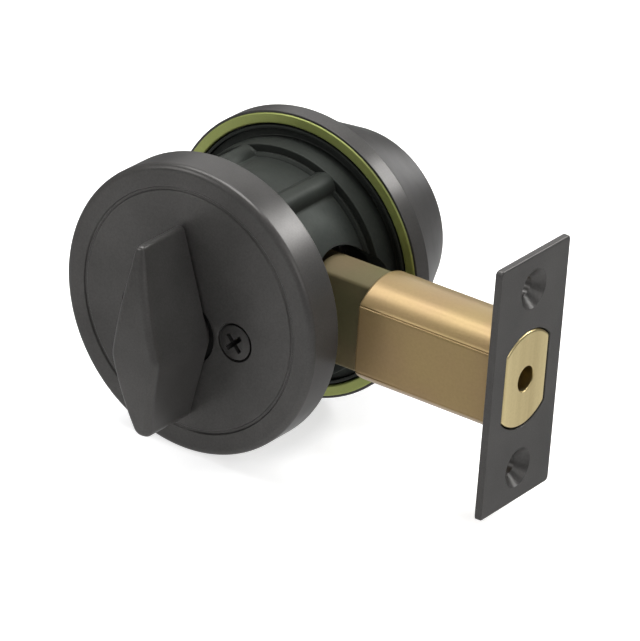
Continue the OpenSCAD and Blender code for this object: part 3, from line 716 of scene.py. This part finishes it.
def blade_section(level, base_y, shrink):
    """One slice of the blade at a height: drafted sides and a rounded, crowned front, drawn in by shrink."""
    left_b, right_b = blade_sides(BASE_OUTLINE, level)
    left_f, right_f = blade_sides(FRONT_OUTLINE, level)
    middle = (BLADE_UP - BLADE_DOWN) / 2
    crown_y = base_y + BLADE_GAP - BLADE_DEPTH + BLADE_CROWN_R
    front = crown_y - math.sqrt(BLADE_CROWN_R ** 2 - (level - middle) ** 2)
    from_foot = level + BLADE_DOWN
    if from_foot < BLADE_FOLD:
        front += BLADE_FOLD - math.sqrt(max(0.0, BLADE_FOLD ** 2 - (BLADE_FOLD - from_foot) ** 2))
    front += shrink
    share = (base_y - front) / BLADE_DEPTH
    left = left_b + (left_f - left_b) * share + shrink
    right = right_b + (right_f - right_b) * share - shrink
    left_b, right_b = left_b + shrink, right_b - shrink
    fold = max(LEAST_FOLD, min(BLADE_FOLD, FOLD_SHARE * (right - left) / 2))
    arc = [(fold * (1 - math.cos(a)), front + fold * (1 - math.sin(a)))
           for a in quarter_turn(BLADE_FOLD_STEPS)]
    points = [(left_b, base_y)]
    points += [(left + x, y) for x, y in arc]
    points += [(right - x, y) for x, y in reversed(arc)]
    points.append((right_b, base_y))
    return [(x, y, level) for x, y in points]


BASE_OUTLINE = blade_outline(BLADE_BASE_HALF)
FRONT_OUTLINE = blade_outline(BLADE_FRONT_HALF)


def make_thumbturn():
    """Blade and hub in one piece, with a groove for the ring and a slot for the tailpiece."""
    hub_end = span("thumbturn")[1].y
    base_y = span("rose")[0].y - BLADE_GAP
    lowest, highest = SLIVER - BLADE_DOWN, BLADE_UP - BLADE_END_EDGE
    rings = []
    for k in range(BLADE_SLICES + 1):
        share = (1 - math.cos(math.pi * k / BLADE_SLICES)) / 2
        rings.append(blade_section(lowest + (highest - lowest) * share, base_y, 0.0))
    for a in quarter_turn(END_STEPS)[1:]:
        level = BLADE_UP - BLADE_END_EDGE * (1 - math.sin(a))
        rings.append(blade_section(level, base_y, BLADE_END_EDGE * (1 - math.cos(a))))
    blade = loft("blade", rings)
    blade.data.transform(Matrix.Translation((0, 0, SPINDLE_Z))
                         @ Matrix.Rotation(math.radians(-BLADE_LEAN), 4, "Y"))
    ring_low, ring_high = span("thumbturn_retaining_ring")
    hub_start = base_y - HUB_SINK
    hub = lathe("hub", rounded([
        (0, hub_start), (HUB_R, hub_start), (HUB_R, ring_low.y, 0.15), (RING_GROOVE_R, ring_low.y, 0.1),
        (RING_GROOVE_R, ring_high.y, 0.1), (HUB_R, ring_high.y, 0.15), (HUB_R, hub_end, 0.3),
        (0, hub_end)]), SPINDLE, steps=HOLE_STEPS)
    add(blade, hub)
    slot_x, slot_z = TAIL_SLOT_HALF_X, TAIL_SLOT_HALF_Z
    cut(blade, block((-slot_x, hub_end - TAIL_SLOT_DEPTH, SPINDLE_Z - slot_z),
                     (slot_x, hub_end + PAST, SPINDLE_Z + slot_z)))
    stand_for(blade, "thumbturn")


# Thread of the mounting screws, and the rows of points along one pitch
THREAD_PITCH, THREAD_DEPTH, THREAD_LENGTH, THREAD_TIP = 0.7, 0.28, 14.0, 0.4
THREAD_ROWS = 5
# Their shank, the length of the head, and its flat face
SHANK_R, HEAD_LENGTH, HEAD_FACE_R, HEAD_FACE_EDGE = 1.95, 2.3, 2.3, 0.8
# Cross recess: depth, reach of an arm and half its width at the face, and how much it narrows
CROSS_DEPTH, CROSS_REACH, CROSS_HALF, CROSS_TAPER = 3.4, 2.4, 0.52, 0.45


def thread(radius, start, end, centre):
    """Threaded rod: a ridge that climbs one pitch a turn, and a short tip past the end."""
    def ridge(reach, along, angle):
        phase = (along / THREAD_PITCH - angle / TAU) % 1.0
        return reach - THREAD_DEPTH * (1 - abs(2 * phase - 1)) if reach > radius - CLEAR else reach
    rows = round((end - start) / THREAD_PITCH * THREAD_ROWS)
    climb = [(radius, start + (end - start) * k / rows) for k in range(rows + 1)]
    tip_r, tip = radius - 1.5 * THREAD_DEPTH, end + THREAD_TIP
    outline = [(0, start)] + climb + [(tip_r, tip), (0, tip)]
    return lathe("thread", outline, centre, steps=THREAD_STEPS, swell=ridge)


def cross_outline(reach, half):
    """Outline of a cross whose arms lie at 45 degrees."""
    arm = [(reach, -half), (reach, half), (half, half)]
    points = []
    for quarter in range(4):
        angle = math.radians(45 + 90 * quarter)
        points += [turned(Vector(p), angle) for p in arm]
    return points


def cross_recess(obj, centre, face):
    """Tapered cross recess in a screw head that faces the viewer, along -Y."""
    stations = []
    for share in (-0.5, 0.0, 1.0):
        size = 1.0 - CROSS_TAPER * max(0.0, share)
        outline = [p + Vector(centre) for p in cross_outline(CROSS_REACH * size, CROSS_HALF * size)]
        stations.append((face + CROSS_DEPTH * share, outline))
    return cut(obj, loft_y("cross", stations))


def make_mounting_screws():
    """Two crowned countersunk screws with a cross recess, threaded at the far end."""
    low, high = span("mounting_screws")
    face = span("rose")[0].y
    thread_start = high.y - THREAD_LENGTH
    screws = []
    for centre in SCREWS:
        screw = lathe("screw", rounded([
            (0, low.y), (HEAD_FACE_R, low.y, HEAD_FACE_EDGE), (SCREW_HEAD_R - 0.1, face - 0.02, 0.35),
            (SCREW_HEAD_R - 0.05, face + 0.12), (SHANK_R, face + HEAD_LENGTH, 0.2), (SHANK_R, thread_start),
            (0, thread_start)]), centre, steps=HOLE_STEPS)
        cross_recess(screw, centre, low.y)
        screws.append(screw)
        screws.append(thread(SHANK_R, thread_start, high.y - THREAD_TIP, centre))
    stand_for(joined("mounting_screws", screws), "mounting_screws")


# ---- latch

# Flatted shapes: radius of the domes, half width over the flats, radius of the folds
BOLT_R, BOLT_HALF, BOLT_FOLD = 10.8, 7.7, 0.9
CASE_R, CASE_HALF, CASE_FOLD = 12.0, 9.2, 2.2
FRAME_R, FRAME_HALF, FRAME_FOLD = 11.2, 5.0, 0.9
BOLT_EDGE, BOLT_HOLE_R, BOLT_HOLE_LIP, TAIL_SLOT_TOP = 0.5, 2.8, 0.25, 5.5
# Opening of the plates: gap round the bolt, and lip at the front
OPENING_GAP, OPENING_LIP = 0.3, 0.2
OPENING = (BOLT_R + OPENING_GAP, BOLT_HALF + OPENING_GAP, BOLT_FOLD)
PLATE_CORNER, PLATE_HOLE_R, PLATE_SINK_R, PLATE_SINK_LIP, PLATE_HOLE_Z = 0.9, 2.25, 4.5, 0.12, 20.65
# Edges of the faceplate: how far the front one comes in and goes back, and the arc it follows
PLATE_EDGE_IN, PLATE_EDGE_BACK, PLATE_BACK_EDGE = 0.42, 0.31, 0.15
PLATE_ARC_START, PLATE_ARC_END, PLATE_ARC_STEPS = math.radians(15), math.radians(75), 4
DIMPLE_R, DIMPLE_GAP = 3.6, 0.2
INNER_CORNER, INNER_EDGE = 1.0, 0.2
# Case: wall, depth of its seams, rear edge, thickness of its rear end, and its hole for the frame
CASE_WALL, CASE_SEAM, CASE_EDGE, CASE_END, CASE_HOLE_END = 0.8, 0.2, 0.7, 1.0, 1.5
FRAME_WALL, FRAME_INNER_FOLD, FRAME_END_R, FRAME_END_STEPS = 1.0, 0.2, 21.3, 48
FRAME_OPEN_X, FRAME_OPEN_Z = 19.5, 7.0
JOURNAL_R, RIVET_R = 4.46, 1.5
RIVETS = [(-15.2, -7.8), (18.0, -7.8)]
LIP_STEPS, EDGE_STEPS = 5, 6


def flared(radius, half, fold, start, end, lip):
    """Stations along X for a flatted cutter whose mouth at the end flares into a rounded lip."""
    stations = [(start, flatted(radius, half, fold))]
    for a in quarter_turn(LIP_STEPS):
        out = lip * (1 - math.cos(a))
        mouth = flatted(radius + out, half + out, fold + out)
        stations.append((end - lip + lip * math.sin(a) + CLEAR, mouth))
    stations.append((end + PAST, flatted(radius + lip, half + lip, fold + lip)))
    return stations


def inset_box(low, high, inset, corner):
    """Rectangle in (y, z) about the origin, as large as a node but drawn in, with rounded corners."""
    y, z = (high.y - low.y) / 2 - inset, (high.z - low.z) / 2 - inset
    return rounded([(y, -z, corner), (y, z, corner), (-y, z, corner), (-y, -z, corner)])


def make_faceplate():
    """Outer plate with an eased edge, the bolt's opening and two dimpled countersinks."""
    low, high = span("faceplate")
    front, back, dimple = high.x, span("inner_faceplate")[1].x, low.x
    stations = [(back, inset_box(low, high, PLATE_BACK_EDGE, PLATE_CORNER)),
                (back + PLATE_BACK_EDGE, inset_box(low, high, 0.0, PLATE_CORNER))]
    climb = math.sin(PLATE_ARC_END) - math.sin(PLATE_ARC_START)
    for k in range(PLATE_ARC_STEPS + 1):
        a = PLATE_ARC_START + (PLATE_ARC_END - PLATE_ARC_START) * k / PLATE_ARC_STEPS
        inset = PLATE_EDGE_IN * (1 - math.cos(a)) / (1 - math.cos(PLATE_ARC_END))
        share = (math.sin(a) - math.sin(PLATE_ARC_START)) / climb
        edge = inset_box(low, high, inset, PLATE_CORNER)
        stations.append((front - PLATE_EDGE_BACK * (1 - share), edge))
    plate = loft_x("faceplate", stations)
    cut(plate, loft_x("opening", flared(*OPENING, back - PAST, front, OPENING_LIP)))
    for z in (-PLATE_HOLE_Z, PLATE_HOLE_Z):
        add(plate, rod(DIMPLE_R, dimple, back + BITE, (0.0, z), AXIS_X))
        bore(plate, PLATE_SINK_R, front, dimple - PAST, (0.0, z), PLATE_SINK_LIP, AXIS_X,
             inner=[(PLATE_HOLE_R, PLATE_SINK_R - PLATE_HOLE_R)])
    stand_for(plate, "faceplate")


def make_inner_faceplate():
    """Plate behind the faceplate, with the same opening and holes that clear the dimples."""
    low, high = span("inner_faceplate")
    small, full = [inset_box(low, high, inset, INNER_CORNER) for inset in (INNER_EDGE, 0.0)]
    plate = loft_x("inner_faceplate", [(low.x, small), (low.x + INNER_EDGE, full), (high.x, full)])
    outline = flatted(*OPENING)
    cut(plate, loft_x("opening", [(low.x - PAST, outline), (high.x + PAST, outline)]))
    for z in (-PLATE_HOLE_Z, PLATE_HOLE_Z):
        cut(plate, rod(DIMPLE_R + DIMPLE_GAP, low.x - PAST, high.x + PAST, (0.0, z), AXIS_X))
    stand_for(plate, "inner_faceplate")


def make_latch_case():
    """Flat-sided tube with a seam along each fold; the frame enters its rear end."""
    low, high = span("latch_case")
    rear, front = low.x, high.x
    stations = []
    for a in quarter_turn(EDGE_STEPS):
        inset = CASE_EDGE * (1 - math.sin(a))
        outline = flatted(CASE_R - inset, CASE_HALF - inset, CASE_FOLD - inset, CASE_SEAM)
        stations.append((rear + CASE_EDGE * (1 - math.cos(a)), outline))
    stations.append((front, flatted(CASE_R, CASE_HALF, CASE_FOLD, CASE_SEAM)))
    case = loft_x("latch_case", stations)
    inner = flatted(CASE_R - CASE_WALL, CASE_HALF - CASE_WALL, CASE_FOLD - CASE_WALL)
    cut(case, loft_x("inside", [(rear + CASE_END, inner), (front + PAST, inner)]))
    hole = flatted(FRAME_R, FRAME_HALF, FRAME_FOLD)
    cut(case, loft_x("frame_hole", [(rear - PAST, hole), (rear + CASE_HOLE_END, hole)]))
    stand_for(case, "latch_case")


def frame_shell(radius, half, fold, end_r, front):
    """Flatted bar whose rear end is rounded off about the cross bore."""
    outline = flatted(radius, half, fold)
    bar = loft_x("bar", [(-end_r - PAST, outline), (front, outline)])
    steps = FRAME_END_STEPS
    sweep = [turned(Vector((0.0, end_r)), math.pi * k / steps) for k in range(steps + 1)]
    profile = sweep + [Vector((front + PAST, -end_r)), Vector((front + PAST, end_r))]
    return combine(bar, loft_y("end", [(-half - PAST, profile), (half + PAST, profile)]), "INTERSECT")


def make_cam_frame():
    """Hollow stamped frame, open along its top, with holes for the cam, the screws and the rivets."""
    front = span("cam_frame")[1].x
    shell = frame_shell(FRAME_R, FRAME_HALF, FRAME_FOLD, FRAME_END_R, front)
    wall = FRAME_WALL
    cut(shell, frame_shell(FRAME_R - wall, FRAME_HALF - wall, FRAME_INNER_FOLD, FRAME_END_R - wall,
                           front + PAST / 2))
    inside = FRAME_HALF - wall
    cut(shell, block((-FRAME_END_R - PAST, -inside, FRAME_OPEN_Z), (FRAME_OPEN_X, inside, FRAME_R + PAST)))
    reach = FRAME_HALF + PAST
    cut(shell, rod(JOURNAL_R, -reach, reach, SPINDLE))
    for centre in SCREWS:
        cut(shell, rod(SCREW_HOLE_R, -reach, reach, centre))
    for centre in RIVETS:
        cut(shell, rod(RIVET_R, -reach, reach, centre))
    stand_for(shell, "cam_frame")


def make_bolt():
    """Flat-sided bolt with a blind hole in its end, and room for its pin, tail and rivet."""
    low, high = span("bolt")
    stations = [(low.x, flatted(BOLT_R, BOLT_HALF, BOLT_FOLD))]
    for a in quarter_turn(EDGE_STEPS):
        inset = BOLT_EDGE * (1 - math.cos(a))
        outline = flatted(BOLT_R - inset, BOLT_HALF - inset, BOLT_FOLD)
        stations.append((high.x - BOLT_EDGE * (1 - math.sin(a)), outline))
    bolt = loft_x("bolt", stations)
    pin_low, pin_high = span("bolt_hardened_pin")
    bore(bolt, BOLT_HOLE_R, high.x, pin_high.x, CENTRE, BOLT_HOLE_LIP, AXIS_X)
    cut(bolt, rod(pin_high.y, pin_low.x, pin_high.x + PAST, CENTRE, AXIS_X))
    tail_low, tail_high = span("bolt_tail")
    cut(bolt, block((low.x - PAST, tail_low.y, tail_low.z), (tail_high.x, tail_high.y, TAIL_SLOT_TOP)))
    rivet_low, rivet_high = span("tail_rivet")
    centre = ((rivet_low.x + rivet_high.x) / 2, (rivet_low.z + rivet_high.z) / 2)
    cut(bolt, rod((rivet_high.x - rivet_low.x) / 2, -BOLT_HALF - PAST, BOLT_HALF + PAST, centre))
    stand_for(bolt, "bolt")


# ---- key side

DRUM_R, DRUM_WALL, DRUM_END, DRUM_ROWS = 24.0, 1.8, 0.35, 6
RIB_R, RIB_CENTRE_R, RIB_SOFTNESS = 2.9, 23.7, 1.3
RIB_ANGLES = [math.radians(a) for a in (65, 115, -65, -115)]
# The drum's flange: a bead, a step that starts this far before the door's face, and a lip
BEAD_R, BEAD_LEAD, BEAD_TOP = 24.9, 0.9, 0.45
STEP_LEAD, STEP_ROOT_R, STEP_R, STEP_NOTCH = 4.6, 26.6, 26.9, 0.15
LIP_IN_R, LIP_DEPTH, FLOOR_T = 28.6, 1.2, 2.6
LATCH_HOLE_R, FLOOR_HOLE_R = 13.4, 8.0
POST_R, POST_REAR_Y, POST_HOLE_R, POST_HOLE_LIP = 3.7, 6.0, 2.01, 0.3
# Small screws: radius, place of the chassis's three, and reach past the seat
SMALL_SCREW_R, CHASSIS_SCREW_R, SCREW_REACH = 1.5, 19.2, 7.4
CHASSIS_SCREWS = [turned(Vector((CHASSIS_SCREW_R, 0.0)), math.radians(a)) for a in (90, 210, 330)]
CYLINDER_SCREWS = [(-10.2, 5.2), (10.2, 5.2)]


def make_chassis():
    """Cast drum with ribs, a stepped flange, the latch's hole and two screw posts."""
    low, high = span("chassis")
    front, seat, lip_r = low.y, high.y, high.x
    door = span("backing_ring")[0].y
    step = door - STEP_LEAD
    inner, floor = DRUM_R - DRUM_WALL, seat - FLOOR_T

    def ribs(reach, along, angle):
        """The drum swells softly into four half-round ribs as far as the step."""
        if reach < DRUM_R - 2 * DRUM_END or along > step + CLEAR or reach > BEAD_R + CLEAR:
            return reach
        crest = 0.0
        for rib in RIB_ANGLES:
            off = (angle - rib + math.pi) % TAU - math.pi
            side = RIB_CENTRE_R * math.sin(off)
            if abs(off) < 1.0 and abs(side) < RIB_R:
                crest = max(crest, RIB_CENTRE_R * math.cos(off) + math.sqrt(RIB_R ** 2 - side ** 2))
        if crest < reach - RIB_SOFTNESS:
            return reach
        gap = max(0.0, RIB_SOFTNESS - abs(crest - reach)) / RIB_SOFTNESS
        return min(max(crest, reach) + gap * gap * RIB_SOFTNESS / 4, STEP_ROOT_R)

    wall_start, wall_end = front + DRUM_END, step - BEAD_LEAD
    row = (wall_end - wall_start) / DRUM_ROWS
    wall = [Vector((DRUM_R, wall_start + row * k)) for k in range(DRUM_ROWS + 1)]
    hollow = rounded([(0, floor), (inner, floor, 1.0), (inner, front, 0.3), (DRUM_R, front, DRUM_END)])
    flange = rounded([
        (DRUM_R, wall_end, 0.3), (BEAD_R, step - BEAD_TOP, 0.2), (BEAD_R, step), (STEP_ROOT_R, step, 0.25),
        (STEP_R, door - 0.9, 0.3), (STEP_R - STEP_NOTCH, door + LIP_DEPTH, 0.2),
        (LIP_IN_R, door + LIP_DEPTH, 0.2), (LIP_IN_R, door, 0.2), (lip_r, door, 0.2), (lip_r, seat, 0.2),
        (0, seat)])
    chassis = lathe("chassis", hollow + wall + flange, steps=DRUM_STEPS, swell=ribs)
    cut(chassis, rod(LATCH_HOLE_R, 0.0, DRUM_R + RIB_R + PAST, CENTRE, AXIS_X, HOLE_STEPS))
    for centre in SCREWS:
        add(chassis, rod(POST_R, POST_REAR_Y, floor + 0.5, centre))
        bore(chassis, POST_HOLE_R, POST_REAR_Y, seat + PAST, centre, POST_HOLE_LIP)
    cut(chassis, rod(FLOOR_HOLE_R, floor - PAST, seat + PAST, SPINDLE))
    for centre in CHASSIS_SCREWS + CYLINDER_SCREWS:
        cut(chassis, rod(SMALL_SCREW_R, floor - PAST, seat + PAST, centre, steps=BORE_STEPS))
    stand_for(chassis, "chassis")


# Collar: depth of its flange, radii of its cone, length and rounding of its nose
FLANGE_DEPTH, CONE_ROOT_R, CONE_NOSE_R, NOSE, NOSE_ROUND = 5.0, 31.0, 21.3, 1.2, 1.6
# Bevel round its mouth, and inner radius of its cavity and of the plated ring
MOUTH_BEVEL, MOUTH_DEPTH, CAVITY_R = 1.15, 0.65, 29.7
# Cylinder: neck, body, depth of the shoulder between them, gap round both
NECK_R, BODY_R, SHOULDER_DEPTH, BODY_GAP = 14.4, 15.2, 1.6, 0.1


def make_collar():
    """Tapered outer housing with a flange that holds the plated ring."""
    low, high = span("collar")
    rim, nose_y, flange_r = low.y, high.y, high.x
    ring_seat, ring_out = span("backing_ring")[1].y, span("backing_ring")[1].x
    seat, shoulder = span("cylinder_body")[0].y, nose_y - SHOULDER_DEPTH
    flange_y = rim + FLANGE_DEPTH
    taper = (CONE_ROOT_R - CONE_NOSE_R) / (nose_y - NOSE - flange_y)
    neck_r, body_r = NECK_R + BODY_GAP, BODY_R + BODY_GAP
    collar = lathe("collar", rounded([
        (body_r, seat), (CAVITY_R, seat), (CAVITY_R, ring_seat), (ring_out, ring_seat), (ring_out, rim, 0.12),
        (flange_r, rim, 0.15), (flange_r, flange_y, 0.9), (CONE_ROOT_R, flange_y, 0.7),
        (CONE_NOSE_R - taper * NOSE, nose_y, NOSE_ROUND), (neck_r + MOUTH_BEVEL, nose_y, 0.3),
        (neck_r, nose_y - MOUTH_DEPTH, 0.2), (neck_r, shoulder), (body_r, shoulder)]))
    for centre in CHASSIS_SCREWS:
        cut(collar, rod(SMALL_SCREW_R, seat - PAST, seat + SCREW_REACH, centre, steps=BORE_STEPS))
    stand_for(collar, "collar")


def make_backing_ring():
    """Plated flat ring with a rounded inner edge."""
    low, high = span("backing_ring")
    front, back, outer, inner = low.y, high.y, high.x, CAVITY_R
    ring = lathe("backing_ring", rounded([
        (inner, back, 0.15), (inner, front, 0.45), (outer, front, 0.3), (outer, back, 0.15)]))
    stand_for(ring, "backing_ring")


PLUG_R, PLUG_FLANGE_R, PLUG_FLANGE_T, PLUG_NECK_R, PLUG_NECK = 6.3, 7.0, 1.0, 5.3, 2.6
PLUG_GAP, PLUG_FLANGE_GAP, PLUG_MOUTH_LIP = 0.06, 0.1, 0.2
# Raised ring round the keyhole
KEY_RING_IN, KEY_RING_OUT, KEY_RING_H, KEY_RING_SLOPE = 5.2, 5.6, 0.12, 0.1
# Keyway, and the ward that widens it on one side
KEY_SLOT_START, KEY_SLOT_HALF, KEY_SLOT_LOW, KEY_SLOT_HIGH = 1.4, 0.95, -4.7, 4.2
WARD_WIDTH, WARD_LOW, WARD_HIGH = 0.7, -1.2, 0.4
# Lug at the plug's rear: inner radius, half its angle and the step along it, in degrees
LUG_IN_R, LUG_HALF, LUG_STEP = 3.6, 25, 5
CHAMBER_R, CHAMBER_START, CHAMBER_PITCH, CHAMBERS = 1.45, 3.0, 3.9, 5
DRILL_PIN_R = 1.0


def chambers(obj, seat, low_z, high_z):
    """Row of pin bores along the plug."""
    for i in range(CHAMBERS):
        place = (0.0, seat + CHAMBER_START + i * CHAMBER_PITCH)
        cut(obj, rod(CHAMBER_R, low_z, high_z, place, AXIS_Z, BORE_STEPS))


def make_cylinder_body():
    """Round body of the key cylinder, bored for the plug, the pins and the screws."""
    low, high = span("cylinder_body")
    seat, front = low.y, high.y
    shoulder = span("collar")[1].y - SHOULDER_DEPTH
    body = lathe("cylinder_body", rounded([
        (0, seat), (BODY_R, seat, 0.2), (BODY_R, shoulder, 0.2), (NECK_R, shoulder, 0.1),
        (NECK_R, front, 0.4), (0, front)]), steps=CYLINDER_STEPS)
    cut(body, rod(PLUG_R + PLUG_GAP, seat - PAST, front + PAST, SPINDLE, steps=PLUG_STEPS))
    bore(body, PLUG_FLANGE_R + PLUG_FLANGE_GAP, front, front - PLUG_FLANGE_T - PLUG_FLANGE_GAP, SPINDLE,
         PLUG_MOUTH_LIP)
    chambers(body, seat, SPINDLE_Z, BODY_R + PAST)
    cover_low, cover_high = span("spring_cover")
    cut(body, block(cover_low, (cover_high.x, cover_high.y, BODY_R + PAST)))
    for centre in CYLINDER_SCREWS:
        cut(body, rod(SMALL_SCREW_R, seat - PAST, seat + SCREW_REACH, centre, steps=BORE_STEPS))
    pins_low, pins_high = span("anti_drill_pins")
    for side in (-1, 1):
        place = (side * (pins_high.x - DRILL_PIN_R), (pins_low.y + pins_high.y) / 2)
        cut(body, rod(DRILL_PIN_R, pins_low.z, BODY_R + PAST, place, AXIS_Z, BORE_STEPS))
    stand_for(body, "cylinder_body")


def make_key_plug():
    """Plug with a flange, a raised ring, the keyway, the pin bores and a lug at its rear."""
    low, high = span("key_plug")
    front, seat = high.y, span("cylinder_body")[0].y
    neck, flange, slot_y = seat - PLUG_NECK, front - PLUG_FLANGE_T, seat + KEY_SLOT_START
    ring_y = front + KEY_RING_H
    plug = lathe("key_plug", rounded([
        (0, neck), (PLUG_NECK_R, neck, 0.15), (PLUG_NECK_R, seat), (PLUG_R, seat, 0.2), (PLUG_R, flange),
        (PLUG_FLANGE_R, flange), (PLUG_FLANGE_R, front, 0.25), (KEY_RING_OUT, front, 0.1),
        (KEY_RING_OUT - KEY_RING_SLOPE, ring_y, 0.1), (KEY_RING_IN + KEY_RING_SLOPE, ring_y, 0.1),
        (KEY_RING_IN, front, 0.1), (0, front)]), SPINDLE, steps=PLUG_STEPS)
    cut(plug, block((-KEY_SLOT_HALF, slot_y, SPINDLE_Z + KEY_SLOT_LOW),
                    (KEY_SLOT_HALF, front + PAST, SPINDLE_Z + KEY_SLOT_HIGH)))
    cut(plug, block((0.0, slot_y, SPINDLE_Z + WARD_LOW),
                    (KEY_SLOT_HALF + WARD_WIDTH, front + PAST, SPINDLE_Z + WARD_HIGH)))
    chambers(plug, seat, SPINDLE_Z, SPINDLE_Z + PLUG_R + PAST)
    angles = range(-LUG_HALF, LUG_HALF + 1, LUG_STEP)
    lug = [Vector(SPINDLE) + turned(Vector((0.0, -reach)), math.radians(a))
           for reach, sweep in ((PLUG_NECK_R, angles), (LUG_IN_R, reversed(angles))) for a in sweep]
    add(plug, loft_y("lug", [(low.y, lug), (neck + 0.1, lug)]))
    stand_for(plug, "key_plug")


# ---- assembly

# Inner pieces that keep their CAD shape, with how far each one's edges are eased
KEPT = {
    "rose_backing_plate": 0.15, "thumbturn_bushing": 0.15, "thumbturn_spring_washer": 0.05,
    "thumbturn_retaining_ring": 0.08, "frame_rivets": 0.1, "bolt_hardened_pin": 0.15, "bolt_tail": 0.12,
    "tail_rivet": 0.1, "cam": 0.12, "cam_drive_pin": 0.1, "chassis_screws": 0.08, "cylinder_screws": 0.08,
    "anti_drill_pins": 0.08, "plug_cap": 0.08, "bottom_pins": 0.05, "top_pins": 0.08, "pin_springs": 0.01,
    "spring_cover": 0.08, "tailpiece": 0.12}

MATERIALS = make_materials()
add_camera()
bpy.context.scene.view_settings.view_transform = "Standard"
add_world()
add_lamp("front_lamp", *FRONT_LAMP)
add_floor()

for make in (make_rose, make_thumbturn, make_mounting_screws, make_faceplate, make_inner_faceplate,
             make_latch_case, make_cam_frame, make_bolt, make_chassis, make_collar, make_backing_ring,
             make_cylinder_body, make_key_plug):
    make()
for kept_node, eased in KEPT.items():
    keep(kept_node, eased)
